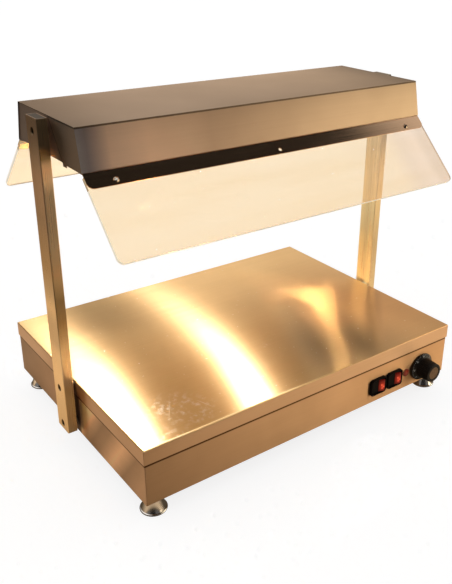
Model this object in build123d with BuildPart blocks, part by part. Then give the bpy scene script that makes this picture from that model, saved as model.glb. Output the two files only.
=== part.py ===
from build123d import *

import os
from math import cos, hypot, radians, sin, sqrt, tan

os.makedirs("parts", exist_ok=True)

# Base: hot plate, casing and underside
base_length = 600.0
base_depth = 440.0
base_height = 92.0
lid_flange = 23.5
sheet = 1.0
bend_radius = 1.5
lid_clearance = 0.2
return_flange = 40.0
cover_overlap = 12.0
cover_foot_gap = 3.0
vent_length = 44.0
vent_width = 5.0
vent_pitch_x = 62.0
vent_pitch_y = 90.0
vent_columns = 6
vent_rows = 3

# Levelling feet
foot_height = 28.0
foot_radius = 19.7
foot_rim = 4.0
foot_edge = 2.0
foot_neck_radius = 13.0
foot_inset = 23.5
foot_stud_radius = 4.0
foot_travel = 8.0
foot_nut_flats = 13.0
foot_nut_height = 6.5
thread_clearance = 0.05

# Screws and the play round them
hole_play = 0.25
cover_screw_radius = 2.0
cover_screw_head_radius = 3.8
cover_screw_head = 2.4
cover_screw_length = 9.0
cover_screw_pitch = 190.0

# Heating element, clamps and insulation
element_radius = 4.0
element_run = 420.0
element_pitch = 56.0
element_runs = 6
element_tail = 34.0
element_seat = 0.1
clamp_pitch = 150.0
clamp_width = 20.0
clamp_sheet = 2.0
clamp_margin = 20.0
clamp_end = 10.0
stud_radius = 2.5
insulation_thick = 12.0
insulation_length = 520.0
insulation_depth = 384.0
flange_nut_flats = 8.0
flange_nut_height = 4.0
flange_nut_rim_radius = 6.0
flange_nut_rim = 1.2
stud_spare = 1.5

# Controls on the front wall
control_height = 30.0
knob_inset = 61.0
indicator_gap = 37.0
switch_gap = 30.5
switch_pitch = 38.0
rocker_half = 12.0
rocker_valley = 4.2
rocker_tilt = 10.0
rocker_height = 21.0
rocker_back = 7.5
rocker_clearance = 0.4
pivot_depth = 1.0
pivot_radius = 1.5
pivot_clearance = 0.05
pivot_engagement = 1.0
rocker_edge = 0.5
lens_thick = 2.4
lens_inset = 0.8
lens_clearance = 0.05
bezel_rim_x = 2.5
bezel_rim_z = 3.1
bezel_proud = 3.0
bezel_corner = 4.5
bezel_edge = 1.0
switch_wall = 1.8
switch_floor = 5.0
cutout_clearance = 0.3
terminal_width = 6.3
terminal_thick = 0.8
terminal_length = 8.0
terminal_pitch_x = 14.0
terminal_pitch_z = 10.0
indicator_radius = 7.0
indicator_proud = 1.5
indicator_lens_radius = 5.8
indicator_lens_dome = 1.2
indicator_body_radius = 5.0
indicator_body_length = 26.0
indicator_seat = 1.0

# Thermostat and knob
knob_reach = 30.5
knob_gap = 2.0
skirt_radius = 24.5
skirt_edge = 1.5
skirt_thick = 4.5
skirt_wall = 1.6
skirt_hub_radius = 7.0
grip_base_radius = 17.8
grip_front_radius = 16.6
grip_chamfer = 1.6
cap_radius = 11.0
cap_thick = 1.4
fit_clearance = 0.05
shaft_radius = 3.0
shaft_in_knob = 16.0
shaft_in_body = 12.0
shaft_hole_play = 2.0
thermostat_width = 40.0
thermostat_depth = 32.0
thermostat_screw_pitch = 28.0
thermostat_screw_radius = 2.0
thermostat_screw_head_radius = 3.5
thermostat_screw_head = 2.0
thermostat_screw_length = 8.0

# Cable gland and terminal block
gland_inset = 100.0
gland_height = 34.0
gland_reach = 30.5
gland_thread_radius = 10.0
gland_flats = 24.0
gland_flange = 5.0
gland_inner_length = 10.0
gland_bore_radius = 4.5
gland_stub_radius = 9.0
gland_stub_length = 16.0
gland_dome_radius = 12.0
gland_dome_edge = 5.0
gland_nut_height = 5.0
block_length = 52.0
block_width = 22.0
block_height = 17.0
block_setback = 70.0
block_pole_pitch = 14.0
block_poles = 3
block_screw_radius = 2.6
block_slot_depth = 6.0
block_barrier = 1.6

# Gantry posts
post_gap = 5.0
post_width = 36.0
post_thick = 15.0
post_wall = 1.5
post_corner = 1.2
post_rise = 10.0
post_drop = 2.0
post_cap_thick = 2.0
post_cap_clearance = 0.1
access_radius = 5.5
post_screw_radius = 2.5
post_screw_head_radius = 4.75
post_screw_head = 3.4
post_nut_flats = 8.0
post_nut_height = 4.0
post_screw_spare = 1.5
low_screw_rise = 20.0
lid_screw_drop = 9.4
hood_screw_drop = 20.4
spacer_radius = 6.0

# Hood
serving_height = 344.0
hood_gap = 3.0
hood_height = 56.0
hood_top_depth = 182.0
hood_bottom_depth = 206.0
hood_lip = 15.0
panel_clearance = 0.1
seam_top = 10.0
seam_bottom = 48.0
seam_tab = 10.0
seam_tab_drop = 3.0

# Reflector and lamps
reflector_sheet = 0.8
reflector_end = 22.0
reflector_top = 92.0
reflector_mouth = 160.0
reflector_depth = 46.0
lamp_pitch = 260.0
lamp_drop = 36.0
lamp_length = 117.6
lamp_radius = 5.0
lamp_cap_radius = 4.2
lamp_cap_length = 9.0
lamp_pinch_radius = 2.6
lamp_pinch_length = 5.0
lamp_shoulder = 5.0
socket_depth = 8.0
socket_clearance = 0.2
holder_thick = 14.0
holder_width = 16.0
holder_height = 22.0
bracket_sheet = 1.5
bracket_width = 22.0
bracket_foot = 14.0

# Glass guards
guard_angle = 45.0
guard_end = 1.0
guard_reach = 125.0
guard_corner = 9.0
glass_thick = 5.0
glass_start = 4.0
strip_width = 22.0
strip_sheet = 1.2
strip_corner = 9.0
strip_seat = 12.0
guard_hole_radius = 2.6
guard_hole_drop = 15.0
guard_screw_end = 39.5
guard_screw_radius = 2.0
guard_screw_head_radius = 4.0
guard_screw_head = 2.4
guard_nut_flats = 7.0
guard_nut_height = 3.2
guard_screw_spare = 1.5
rivet_radius = 2.0
rivet_head_radius = 3.6
rivet_head = 1.0
rivet_end = 41.0
rivet_count = 5
rivet_clearance = 0.05

# Levels and faces that the pieces share
casing_z = foot_height
plate_top = casing_z + base_height
plate_under = plate_top - sheet
case_length = base_length - 2 * (sheet + lid_clearance)
case_depth = base_depth - 2 * (sheet + lid_clearance)
case_height = base_height - sheet
opening_length = case_length - 2 * return_flange
opening_depth = case_depth - 2 * return_flange
cover_length = opening_length + 2 * cover_overlap
cover_depth = opening_depth + 2 * cover_overlap
cover_under = casing_z - sheet
foot_pitch_x = base_length - 2 * foot_inset
foot_pitch_y = base_depth - 2 * foot_inset
foot_points = {
    "front_left": (-foot_pitch_x / 2, -foot_pitch_y / 2),
    "front_right": (foot_pitch_x / 2, -foot_pitch_y / 2),
    "rear_left": (-foot_pitch_x / 2, foot_pitch_y / 2),
    "rear_right": (foot_pitch_x / 2, foot_pitch_y / 2),
}
front_face = Plane.XZ.offset(case_depth / 2)
rear_face = Plane.XZ.offset(-case_depth / 2)
control_z = casing_z + control_height
knob_x = base_length / 2 - knob_inset
indicator_x = knob_x - indicator_gap
switch_right_x = indicator_x - switch_gap
switch_left_x = switch_right_x - switch_pitch
hood_bottom = plate_top + serving_height
hood_top = hood_bottom + hood_height
post_inner = base_length / 2 + post_gap
hood_length = 2 * (post_inner - hood_gap)
guard_length = hood_length - 2 * guard_end
guard_screw_pitch = guard_length - 2 * guard_screw_end
rivet_pitch = (guard_length - 2 * rivet_end) / (rivet_count - 1)
post_foot = casing_z + post_rise
post_top = hood_top - post_drop
low_screw_z = casing_z + low_screw_rise
lid_screw_z = plate_top - lid_screw_drop
hood_screw_z = hood_top - hood_screw_drop
post_hole_radius = post_screw_radius + hole_play
sides = {"left": -1, "right": 1}

# Hot plate: a pan folded down all round and welded at its corners
with BuildPart() as hot_plate:
    with BuildSketch(Plane.XY.offset(plate_top - lid_flange)):
        Rectangle(base_length, base_depth)
    extrude(amount=lid_flange)
    fillet(hot_plate.edges().filter_by(Axis.Z), bend_radius / 2)
    fillet(hot_plate.faces().sort_by(Axis.Z)[-1].edges(), bend_radius)
    with BuildSketch(Plane.XY.offset(plate_top - lid_flange)):
        Rectangle(base_length - 2 * sheet, base_depth - 2 * sheet)
    extrude(amount=lid_flange - sheet, mode=Mode.SUBTRACT)
    with BuildSketch(Plane.YZ):
        with Locations((0, lid_screw_z)):
            Circle(post_hole_radius)
    extrude(amount=base_length / 2, both=True, mode=Mode.SUBTRACT)
hot_plate.part.label = "hot_plate"
export_step(hot_plate.part, "parts/hot_plate.step")

# Rocker switch sizes: the ends of the rocker sweep an arc about its pivot
rocker_end = rocker_valley + rocker_half * tan(radians(rocker_tilt))
rocker_sweep = hypot(rocker_half, rocker_end)
window_width = 2 * (rocker_sweep + rocker_clearance)
window_height = rocker_height + 2 * rocker_clearance
switch_width = window_width + 2 * bezel_rim_x
switch_height = window_height + 2 * bezel_rim_z
switch_body_width = window_width + 2 * switch_wall
switch_body_height = window_height + 2 * switch_wall
switch_cavity = pivot_depth + rocker_sweep + rocker_clearance
switch_depth = switch_cavity + switch_floor
indicator_hole_radius = indicator_body_radius + hole_play
gland_x = base_length / 2 - gland_inset
gland_z = casing_z + gland_height
cover_screw_points = [
    (x, sign * (opening_depth + cover_overlap) / 2)
    for x in (-cover_screw_pitch, 0, cover_screw_pitch)
    for sign in (-1, 1)
] + [(sign * (opening_length + cover_overlap) / 2, 0) for sign in (-1, 1)]

# Base casing: four walls, an edge turned in underneath, and the holes for what it carries
with BuildPart() as base_casing:
    with BuildSketch(Plane.XY.offset(casing_z)):
        Rectangle(case_length, case_depth)
    extrude(amount=case_height)
    fillet(base_casing.edges().filter_by(Axis.Z), bend_radius)
    fillet(base_casing.faces().sort_by(Axis.Z)[0].edges(), bend_radius)
    with BuildSketch(Plane.XY.offset(casing_z + sheet)):
        Rectangle(case_length - 2 * sheet, case_depth - 2 * sheet)
    extrude(amount=case_height, mode=Mode.SUBTRACT)
    with BuildSketch(Plane.XY.offset(casing_z)):
        Rectangle(opening_length, opening_depth)
        with GridLocations(foot_pitch_x, foot_pitch_y, 2, 2):
            Circle(foot_stud_radius + hole_play)
        with Locations(*cover_screw_points):
            Circle(cover_screw_radius + hole_play)
    extrude(amount=sheet, mode=Mode.SUBTRACT)
    with BuildSketch(front_face):
        with Locations((switch_left_x, control_z), (switch_right_x, control_z)):
            Rectangle(switch_body_width + 2 * cutout_clearance, switch_body_height + 2 * cutout_clearance)
        with Locations((indicator_x, control_z)):
            Circle(indicator_hole_radius)
        with Locations((knob_x, control_z)):
            Circle(shaft_radius + shaft_hole_play)
            with GridLocations(thermostat_screw_pitch, 0, 2, 1):
                Circle(thermostat_screw_radius + hole_play)
    extrude(amount=-sheet, mode=Mode.SUBTRACT)
    with BuildSketch(rear_face):
        with Locations((gland_x, gland_z)):
            Circle(gland_thread_radius + hole_play)
    extrude(amount=sheet, mode=Mode.SUBTRACT)
    with BuildSketch(Plane.YZ):
        with Locations((0, lid_screw_z), (0, low_screw_z)):
            Circle(post_hole_radius)
    extrude(amount=base_length / 2, both=True, mode=Mode.SUBTRACT)
base_casing.part.label = "base_casing"
export_step(base_casing.part, "parts/base_casing.step")

# Bottom cover: laps the turned-in edge, with clipped corners beside the feet and vent slots
corner_gap = return_flange - cover_overlap - (foot_inset - sheet - lid_clearance)
neck_reach = foot_neck_radius + cover_foot_gap
cover_chamfer = hypot(neck_reach, neck_reach) - 2 * corner_gap
with BuildPart() as bottom_cover:
    with BuildSketch(Plane.XY.offset(cover_under)) as cover_outline:
        Rectangle(cover_length, cover_depth)
        chamfer(cover_outline.vertices(), cover_chamfer)
        with Locations(*cover_screw_points):
            Circle(cover_screw_radius + hole_play, mode=Mode.SUBTRACT)
        with GridLocations(vent_pitch_x, vent_pitch_y, vent_columns, vent_rows):
            SlotOverall(vent_length, vent_width, mode=Mode.SUBTRACT)
    extrude(amount=sheet)
bottom_cover.part.label = "bottom_cover"
export_step(bottom_cover.part, "parts/bottom_cover.step")

with BuildPart() as cover_screws:
    with BuildSketch(Plane.XY.offset(cover_under)):
        with Locations(*cover_screw_points):
            Circle(cover_screw_head_radius)
    extrude(amount=-cover_screw_head)
    fillet(cover_screws.faces().sort_by(Axis.Z)[0:8].edges(), cover_screw_head / 3)
    with BuildSketch(Plane.XY.offset(cover_under)):
        with Locations(*cover_screw_points):
            Circle(cover_screw_radius)
    extrude(amount=cover_screw_length)
cover_screws.part.label = "cover_screws"
export_step(cover_screws.part, "parts/cover_screws.step")

# Levelling feet: bell-shaped, turned in one piece with the stud that screws into the casing
stud_top = casing_z + sheet + foot_nut_height + foot_travel + foot_edge
for place, (foot_x, foot_y) in foot_points.items():
    with BuildPart() as foot:
        with BuildSketch(Plane((foot_x, foot_y, 0), x_dir=(1, 0, 0), z_dir=(0, -1, 0))):
            with BuildLine():
                Line((0, 0), (foot_radius - foot_edge, 0))
                RadiusArc((foot_radius - foot_edge, 0), (foot_radius, foot_rim / 2), -foot_edge)
                Line((foot_radius, foot_rim / 2), (foot_radius, foot_rim))
                RadiusArc((foot_radius, foot_rim), (foot_neck_radius, foot_height), -2 * foot_height)
                Line((foot_neck_radius, foot_height), (foot_stud_radius, foot_height))
                Line((foot_stud_radius, foot_height), (foot_stud_radius, stud_top))
                Line((foot_stud_radius, stud_top), (0, stud_top))
                Line((0, stud_top), (0, 0))
            make_face()
        revolve(axis=Axis((foot_x, foot_y, 0), (0, 0, 1)))
    foot.part.label = f"foot_{place}"
    export_step(foot.part, f"parts/foot_{place}.step")

with BuildPart() as foot_nuts:
    with BuildSketch(Plane.XY.offset(casing_z + sheet)):
        with Locations(*foot_points.values()):
            RegularPolygon(foot_nut_flats / 2, 6, major_radius=False)
            Circle(foot_stud_radius + thread_clearance, mode=Mode.SUBTRACT)
    extrude(amount=foot_nut_height)
foot_nuts.part.label = "foot_nuts"
export_step(foot_nuts.part, "parts/foot_nuts.step")

# Heating element: one tube bent to and fro under the plate, both tails at the right
element_z = plate_under - element_seat - element_radius
element_span = element_pitch * (element_runs - 1)
with BuildPart() as heating_element:
    with BuildLine(Plane.XY.offset(element_z)) as element_path:
        for run in range(element_runs):
            run_y = run * element_pitch - element_span / 2
            heading = -1 if run % 2 == 0 else 1
            run_start = -heading * element_run / 2
            run_end = heading * element_run / 2
            if run == 0:
                run_start += element_tail
            if run == element_runs - 1:
                run_end += element_tail
            Line((run_start, run_y), (run_end, run_y))
            if run < element_runs - 1:
                ThreePointArc(
                    (run_end, run_y),
                    (run_end + heading * element_pitch / 2, run_y + element_pitch / 2),
                    (run_end, run_y + element_pitch),
                )
    with BuildSketch(Plane(element_path.line @ 0, z_dir=element_path.line % 0)):
        Circle(element_radius)
    sweep(path=element_path.line)
heating_element.part.label = "heating_element"
export_step(heating_element.part, "parts/heating_element.step")

# Clamp bars hold the element up against the plate on welded studs
clamp_top = element_z - element_radius
stud_pitch_y = element_span + 2 * clamp_margin
with BuildPart() as element_clamps:
    with BuildSketch(Plane.XY.offset(clamp_top)):
        with GridLocations(clamp_pitch, 0, 3, 1):
            Rectangle(clamp_width, stud_pitch_y + 2 * clamp_end)
            with GridLocations(0, stud_pitch_y, 1, 2):
                Circle(stud_radius + hole_play, mode=Mode.SUBTRACT)
    extrude(amount=-clamp_sheet)
element_clamps.part.label = "element_clamps"
export_step(element_clamps.part, "parts/element_clamps.step")

insulation_top = clamp_top - clamp_sheet
insulation_under = insulation_top - insulation_thick
with BuildPart() as insulation_board:
    with BuildSketch(Plane.XY.offset(insulation_under)):
        Rectangle(insulation_length, insulation_depth)
        with GridLocations(clamp_pitch, stud_pitch_y, 3, 2):
            Circle(stud_radius + hole_play, mode=Mode.SUBTRACT)
    extrude(amount=insulation_thick)
insulation_board.part.label = "insulation_board"
export_step(insulation_board.part, "parts/insulation_board.step")

stud_end = insulation_under - flange_nut_rim - flange_nut_height - stud_spare
with BuildPart() as clamp_studs:
    with BuildSketch(Plane.XY.offset(stud_end)):
        with GridLocations(clamp_pitch, stud_pitch_y, 3, 2):
            Circle(stud_radius)
    extrude(amount=plate_under - stud_end)
clamp_studs.part.label = "clamp_studs"
export_step(clamp_studs.part, "parts/clamp_studs.step")

with BuildPart() as clamp_nuts:
    with BuildSketch(Plane.XY.offset(insulation_under)):
        with GridLocations(clamp_pitch, stud_pitch_y, 3, 2):
            Circle(flange_nut_rim_radius)
            Circle(stud_radius + thread_clearance, mode=Mode.SUBTRACT)
    extrude(amount=-flange_nut_rim)
    with BuildSketch(Plane.XY.offset(insulation_under - flange_nut_rim)):
        with GridLocations(clamp_pitch, stud_pitch_y, 3, 2):
            RegularPolygon(flange_nut_flats / 2, 6, major_radius=False)
            Circle(stud_radius + thread_clearance, mode=Mode.SUBTRACT)
    extrude(amount=-flange_nut_height)
clamp_nuts.part.label = "clamp_nuts"
export_step(clamp_nuts.part, "parts/clamp_nuts.step")

# Rocker switches: a frame clipped into the wall, a rocker on an upright pin, a lens for its right half
pivot_y = -case_depth / 2 + pivot_depth
pivot_length = rocker_height + 2 * (rocker_clearance + pivot_engagement)
rocker_back_half = sqrt(rocker_sweep**2 - rocker_back**2)
rocker_slope = tan(radians(rocker_tilt))
lens_floor = rocker_valley - lens_thick / cos(radians(rocker_tilt))
with BuildSketch() as rocker_outline:
    with BuildLine():
        Polyline((-rocker_half, rocker_end), (0, rocker_valley), (rocker_half, rocker_end))
        ThreePointArc((rocker_half, rocker_end), (rocker_sweep, 0), (rocker_back_half, -rocker_back))
        Line((rocker_back_half, -rocker_back), (-rocker_back_half, -rocker_back))
        ThreePointArc((-rocker_back_half, -rocker_back), (-rocker_sweep, 0), (-rocker_half, rocker_end))
    make_face()
with BuildSketch() as lens_region:
    with BuildLine():
        Polyline(
            (lens_inset, lens_floor + lens_inset * rocker_slope),
            (2 * rocker_half, lens_floor + 2 * rocker_half * rocker_slope),
            (2 * rocker_half, 2 * rocker_end),
            (lens_inset, 2 * rocker_end),
            close=True,
        )
    make_face()
for side, switch_x in {"left": switch_left_x, "right": switch_right_x}.items():
    with BuildPart() as switch_frame:
        with BuildSketch(front_face):
            with Locations((switch_x, control_z)):
                RectangleRounded(switch_width, switch_height, bezel_corner)
        extrude(amount=bezel_proud)
        fillet(switch_frame.faces().sort_by(Axis.Y)[0].edges(), bezel_edge)
        with BuildSketch(front_face):
            with Locations((switch_x, control_z)):
                Rectangle(switch_body_width, switch_body_height)
        extrude(amount=-switch_depth)
        with BuildSketch(front_face.offset(bezel_proud)):
            with Locations((switch_x, control_z)):
                Rectangle(window_width, window_height)
        extrude(amount=-bezel_proud - switch_cavity, mode=Mode.SUBTRACT)
        with BuildSketch(Plane((switch_x, pivot_y, control_z))):
            Circle(pivot_radius + pivot_clearance)
        extrude(amount=pivot_length / 2 + pivot_clearance, both=True, mode=Mode.SUBTRACT)
    switch_frame.part.label = f"switch_frame_{side}"
    export_step(switch_frame.part, f"parts/switch_frame_{side}.step")

    # The rocker rests tipped to the left; its own plane leans with it, y pointing out of the wall
    tip = radians(rocker_tilt)
    rocker_plane = Plane((switch_x, pivot_y, control_z), x_dir=(cos(tip), -sin(tip), 0), z_dir=(0, 0, -1))
    with BuildPart() as rocker:
        with BuildSketch(rocker_plane):
            add(rocker_outline.sketch)
        extrude(amount=rocker_height / 2, both=True)
        fillet(set(rocker.faces().sort_by(Axis.Y)[0:2].edges()), rocker_edge)
        with BuildSketch(rocker_plane):
            add(lens_region.sketch)
            offset(amount=lens_clearance, kind=Kind.INTERSECTION)
        extrude(amount=rocker_height, both=True, mode=Mode.SUBTRACT)
        with BuildSketch(rocker_plane):
            Circle(pivot_radius)
        extrude(amount=pivot_length / 2, both=True)
    rocker.part.label = f"rocker_{side}"
    export_step(rocker.part, f"parts/rocker_{side}.step")

    with BuildPart() as rocker_lens:
        with BuildSketch(rocker_plane):
            add(rocker_outline.sketch)
        extrude(amount=rocker_height / 2, both=True)
        fillet(set(rocker_lens.faces().sort_by(Axis.Y)[0:2].edges()), rocker_edge)
        with BuildSketch(rocker_plane):
            add(lens_region.sketch)
        extrude(amount=rocker_height, both=True, mode=Mode.INTERSECT)
    rocker_lens.part.label = f"rocker_lens_{side}"
    export_step(rocker_lens.part, f"parts/rocker_lens_{side}.step")

with BuildPart() as switch_terminals:
    with BuildSketch(front_face.offset(-switch_depth)):
        with Locations((switch_left_x, control_z), (switch_right_x, control_z)):
            with GridLocations(terminal_pitch_x, terminal_pitch_z, 2, 2):
                Rectangle(terminal_thick, terminal_width)
    extrude(amount=-terminal_length)
switch_terminals.part.label = "switch_terminals"
export_step(switch_terminals.part, "parts/switch_terminals.step")

# Indicator lamp: a flanged body with a domed lens let into its front
with BuildPart() as indicator_body:
    with BuildSketch(front_face):
        with Locations((indicator_x, control_z)):
            Circle(indicator_radius)
    extrude(amount=indicator_proud)
    chamfer(indicator_body.faces().sort_by(Axis.Y)[0].edges(), indicator_proud / 3)
    with BuildSketch(front_face):
        with Locations((indicator_x, control_z)):
            Circle(indicator_body_radius)
    extrude(amount=-indicator_body_length)
    with BuildSketch(front_face.offset(indicator_proud)):
        with Locations((indicator_x, control_z)):
            Circle(indicator_lens_radius)
    extrude(amount=-indicator_seat, mode=Mode.SUBTRACT)
indicator_body.part.label = "indicator_body"
export_step(indicator_body.part, "parts/indicator_body.step")

lens_rim_radius = indicator_lens_radius - fit_clearance
with BuildPart() as indicator_lens:
    with BuildSketch(Plane((indicator_x, -case_depth / 2, control_z))):
        with BuildLine():
            lens_back = indicator_seat - indicator_proud
            lens_crown = -indicator_proud - indicator_lens_dome
            Line((0, lens_crown), (0, lens_back))
            Line((0, lens_back), (lens_rim_radius, lens_back))
            Line((lens_rim_radius, lens_back), (lens_rim_radius, -indicator_proud))
            TangentArc((0, lens_crown), (lens_rim_radius, -indicator_proud), tangent=(1, 0))
        make_face()
    revolve(axis=Axis((indicator_x, 0, control_z), (0, 1, 0)))
indicator_lens.part.label = "indicator_lens"
export_step(indicator_lens.part, "parts/indicator_lens.step")

# Thermostat behind the wall; its shaft turns in the body and carries the knob
thermostat_face = front_face.offset(-sheet)
with BuildPart() as thermostat_body:
    with BuildSketch(thermostat_face):
        with Locations((knob_x, control_z)):
            RectangleRounded(thermostat_width, thermostat_width, bezel_corner)
    extrude(amount=-thermostat_depth)
    chamfer(thermostat_body.faces().sort_by(Axis.Y)[-1].edges(), bezel_corner / 2)
    with BuildSketch(thermostat_face):
        with Locations((knob_x, control_z)):
            Circle(shaft_radius + fit_clearance)
    extrude(amount=-shaft_in_body - hole_play, mode=Mode.SUBTRACT)
    with BuildSketch(thermostat_face):
        with Locations((knob_x, control_z)):
            with GridLocations(thermostat_screw_pitch, 0, 2, 1):
                Circle(thermostat_screw_radius + thread_clearance)
    extrude(amount=-thermostat_screw_length, mode=Mode.SUBTRACT)
thermostat_body.part.label = "thermostat_body"
export_step(thermostat_body.part, "parts/thermostat_body.step")

with BuildPart() as thermostat_screws:
    with BuildSketch(front_face):
        with Locations((knob_x, control_z)):
            with GridLocations(thermostat_screw_pitch, 0, 2, 1):
                Circle(thermostat_screw_head_radius)
    extrude(amount=thermostat_screw_head)
    with BuildSketch(front_face):
        with Locations((knob_x, control_z)):
            with GridLocations(thermostat_screw_pitch, 0, 2, 1):
                Circle(thermostat_screw_radius)
    extrude(amount=-thermostat_screw_length)
thermostat_screws.part.label = "thermostat_screws"
export_step(thermostat_screws.part, "parts/thermostat_screws.step")

with BuildPart() as thermostat_shaft:
    with BuildSketch(front_face.offset(-sheet - shaft_in_body)):
        with Locations((knob_x, control_z)):
            Circle(shaft_radius)
    extrude(amount=sheet + shaft_in_body + knob_gap + shaft_in_knob)
thermostat_shaft.part.label = "thermostat_shaft"
export_step(thermostat_shaft.part, "parts/thermostat_shaft.step")

# Knob: a hollow skirt that carries the scale and a tapered grip, turned about the shaft
knob_plane = Plane((knob_x, -case_depth / 2, control_z), x_dir=(1, 0, 0), z_dir=(0, 0, -1))
knob_axis = Axis((knob_x, 0, control_z), (0, 1, 0))
skirt_back = knob_gap
skirt_front = knob_gap + skirt_thick
skirt_inside = skirt_radius - skirt_wall
skirt_ceiling = skirt_front - skirt_wall
with BuildPart() as knob:
    with BuildSketch(knob_plane):
        with BuildLine():
            Polyline(
                (0, skirt_back),
                (skirt_hub_radius, skirt_back),
                (skirt_hub_radius, skirt_ceiling),
                (grip_base_radius, skirt_ceiling),
                (skirt_inside, skirt_back + skirt_edge / 2),
                (skirt_inside, skirt_back),
                (skirt_radius, skirt_back),
                (skirt_radius, skirt_back + skirt_edge),
                (grip_base_radius, skirt_front),
                (grip_front_radius, knob_reach - grip_chamfer),
                (grip_front_radius - grip_chamfer, knob_reach),
                (cap_radius, knob_reach),
                (cap_radius, knob_reach - cap_thick),
                (0, knob_reach - cap_thick),
                close=True,
            )
        make_face()
    revolve(axis=knob_axis)
    with BuildSketch(front_face.offset(knob_gap)):
        with Locations((knob_x, control_z)):
            Circle(shaft_radius + fit_clearance)
    extrude(amount=shaft_in_knob + fit_clearance, mode=Mode.SUBTRACT)
knob.part.label = "knob"
export_step(knob.part, "parts/knob.step")

with BuildPart() as knob_cap:
    with BuildSketch(front_face.offset(knob_reach - cap_thick)):
        with Locations((knob_x, control_z)):
            Circle(cap_radius - fit_clearance)
    extrude(amount=cap_thick)
    fillet(knob_cap.faces().sort_by(Axis.Y)[0].edges(), cap_thick / 2)
knob_cap.part.label = "knob_cap"
export_step(knob_cap.part, "parts/knob_cap.step")

# Cable gland in the rear wall, open: body, dome nut outside and locknut inside
dome_length = gland_reach - gland_flange
with BuildPart() as gland_body:
    with BuildSketch(rear_face):
        with Locations((gland_x, gland_z)):
            RegularPolygon(gland_flats / 2, 6, major_radius=False)
    extrude(amount=-gland_flange)
    with BuildSketch(rear_face):
        with Locations((gland_x, gland_z)):
            Circle(gland_thread_radius)
    extrude(amount=sheet + gland_inner_length)
    with BuildSketch(rear_face.offset(-gland_flange)):
        with Locations((gland_x, gland_z)):
            Circle(gland_stub_radius)
    extrude(amount=-gland_stub_length)
    with BuildSketch(rear_face.offset(sheet + gland_inner_length)):
        with Locations((gland_x, gland_z)):
            Circle(gland_bore_radius)
    extrude(amount=-(sheet + gland_inner_length + gland_flange + gland_stub_length), mode=Mode.SUBTRACT)
gland_body.part.label = "gland_body"
export_step(gland_body.part, "parts/gland_body.step")

with BuildPart() as gland_dome_nut:
    with BuildSketch(rear_face.offset(-gland_flange)):
        with Locations((gland_x, gland_z)):
            Circle(gland_dome_radius)
    extrude(amount=-dome_length)
    fillet(gland_dome_nut.faces().sort_by(Axis.Y)[-1].edges(), gland_dome_edge)
    with BuildSketch(rear_face.offset(-gland_flange)):
        with Locations((gland_x, gland_z)):
            Circle(gland_stub_radius + thread_clearance)
    extrude(amount=-gland_stub_length - thread_clearance, mode=Mode.SUBTRACT)
    with BuildSketch(rear_face.offset(-gland_flange)):
        with Locations((gland_x, gland_z)):
            Circle(gland_bore_radius)
    extrude(amount=-dome_length, mode=Mode.SUBTRACT)
gland_dome_nut.part.label = "gland_dome_nut"
export_step(gland_dome_nut.part, "parts/gland_dome_nut.step")

with BuildPart() as gland_locknut:
    with BuildSketch(rear_face.offset(sheet)):
        with Locations((gland_x, gland_z)):
            RegularPolygon(gland_flats / 2, 6, major_radius=False)
            Circle(gland_thread_radius + thread_clearance, mode=Mode.SUBTRACT)
    extrude(amount=gland_nut_height)
gland_locknut.part.label = "gland_locknut"
export_step(gland_locknut.part, "parts/gland_locknut.step")

# Terminal block on the bottom cover, with a barrier between its poles
block_y = case_depth / 2 - block_setback
with BuildPart() as terminal_block:
    with BuildSketch(Plane.XY.offset(casing_z)):
        with Locations((gland_x, block_y)):
            Rectangle(block_length, block_width)
    extrude(amount=block_height)
    with BuildSketch(Plane.XY.offset(casing_z + block_height)):
        with Locations((gland_x, block_y)):
            with GridLocations(block_pole_pitch, 0, block_poles, 1):
                Rectangle(block_pole_pitch - block_barrier, block_width)
    extrude(amount=-block_slot_depth, mode=Mode.SUBTRACT)
terminal_block.part.label = "terminal_block"
export_step(terminal_block.part, "parts/terminal_block.step")

with BuildPart() as terminal_screws:
    with BuildSketch(Plane.XY.offset(casing_z + block_height - block_slot_depth)):
        with Locations((gland_x, block_y)):
            with GridLocations(block_pole_pitch, block_width / 2, block_poles, 2):
                Circle(block_screw_radius)
    extrude(amount=block_slot_depth / 2)
terminal_screws.part.label = "terminal_screws"
export_step(terminal_screws.part, "parts/terminal_screws.step")

# Posts: box sections with access holes outside and screw holes inside
screw_heights = [(0, low_screw_z), (0, lid_screw_z), (0, hood_screw_z)]
for side, sign in sides.items():
    post_x = sign * (post_inner + post_thick / 2)
    with BuildPart() as post:
        with BuildSketch(Plane.XY.offset(post_foot)):
            with Locations((post_x, 0)):
                RectangleRounded(post_thick, post_width, post_corner)
                Rectangle(post_thick - 2 * post_wall, post_width - 2 * post_wall, mode=Mode.SUBTRACT)
        extrude(amount=post_top - post_foot)
        with BuildSketch(Plane.YZ.offset(post_x)):
            with Locations(*screw_heights):
                Circle(access_radius)
        extrude(amount=sign * post_thick, mode=Mode.SUBTRACT)
        with BuildSketch(Plane.YZ.offset(post_x)):
            with Locations(*screw_heights):
                Circle(post_hole_radius)
        extrude(amount=-sign * post_thick, mode=Mode.SUBTRACT)
    post.part.label = f"post_{side}"
    export_step(post.part, f"parts/post_{side}.step")

cap_play = 2 * (post_wall + post_cap_clearance)
post_centres = [(sign * (post_inner + post_thick / 2), 0) for sign in sides.values()]
with BuildPart() as post_caps:
    for level in (post_foot, post_top - post_cap_thick):
        with BuildSketch(Plane.XY.offset(level)):
            with Locations(*post_centres):
                Rectangle(post_thick - cap_play, post_width - cap_play)
        extrude(amount=post_cap_thick)
post_caps.part.label = "post_caps"
export_step(post_caps.part, "parts/post_caps.step")

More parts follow.
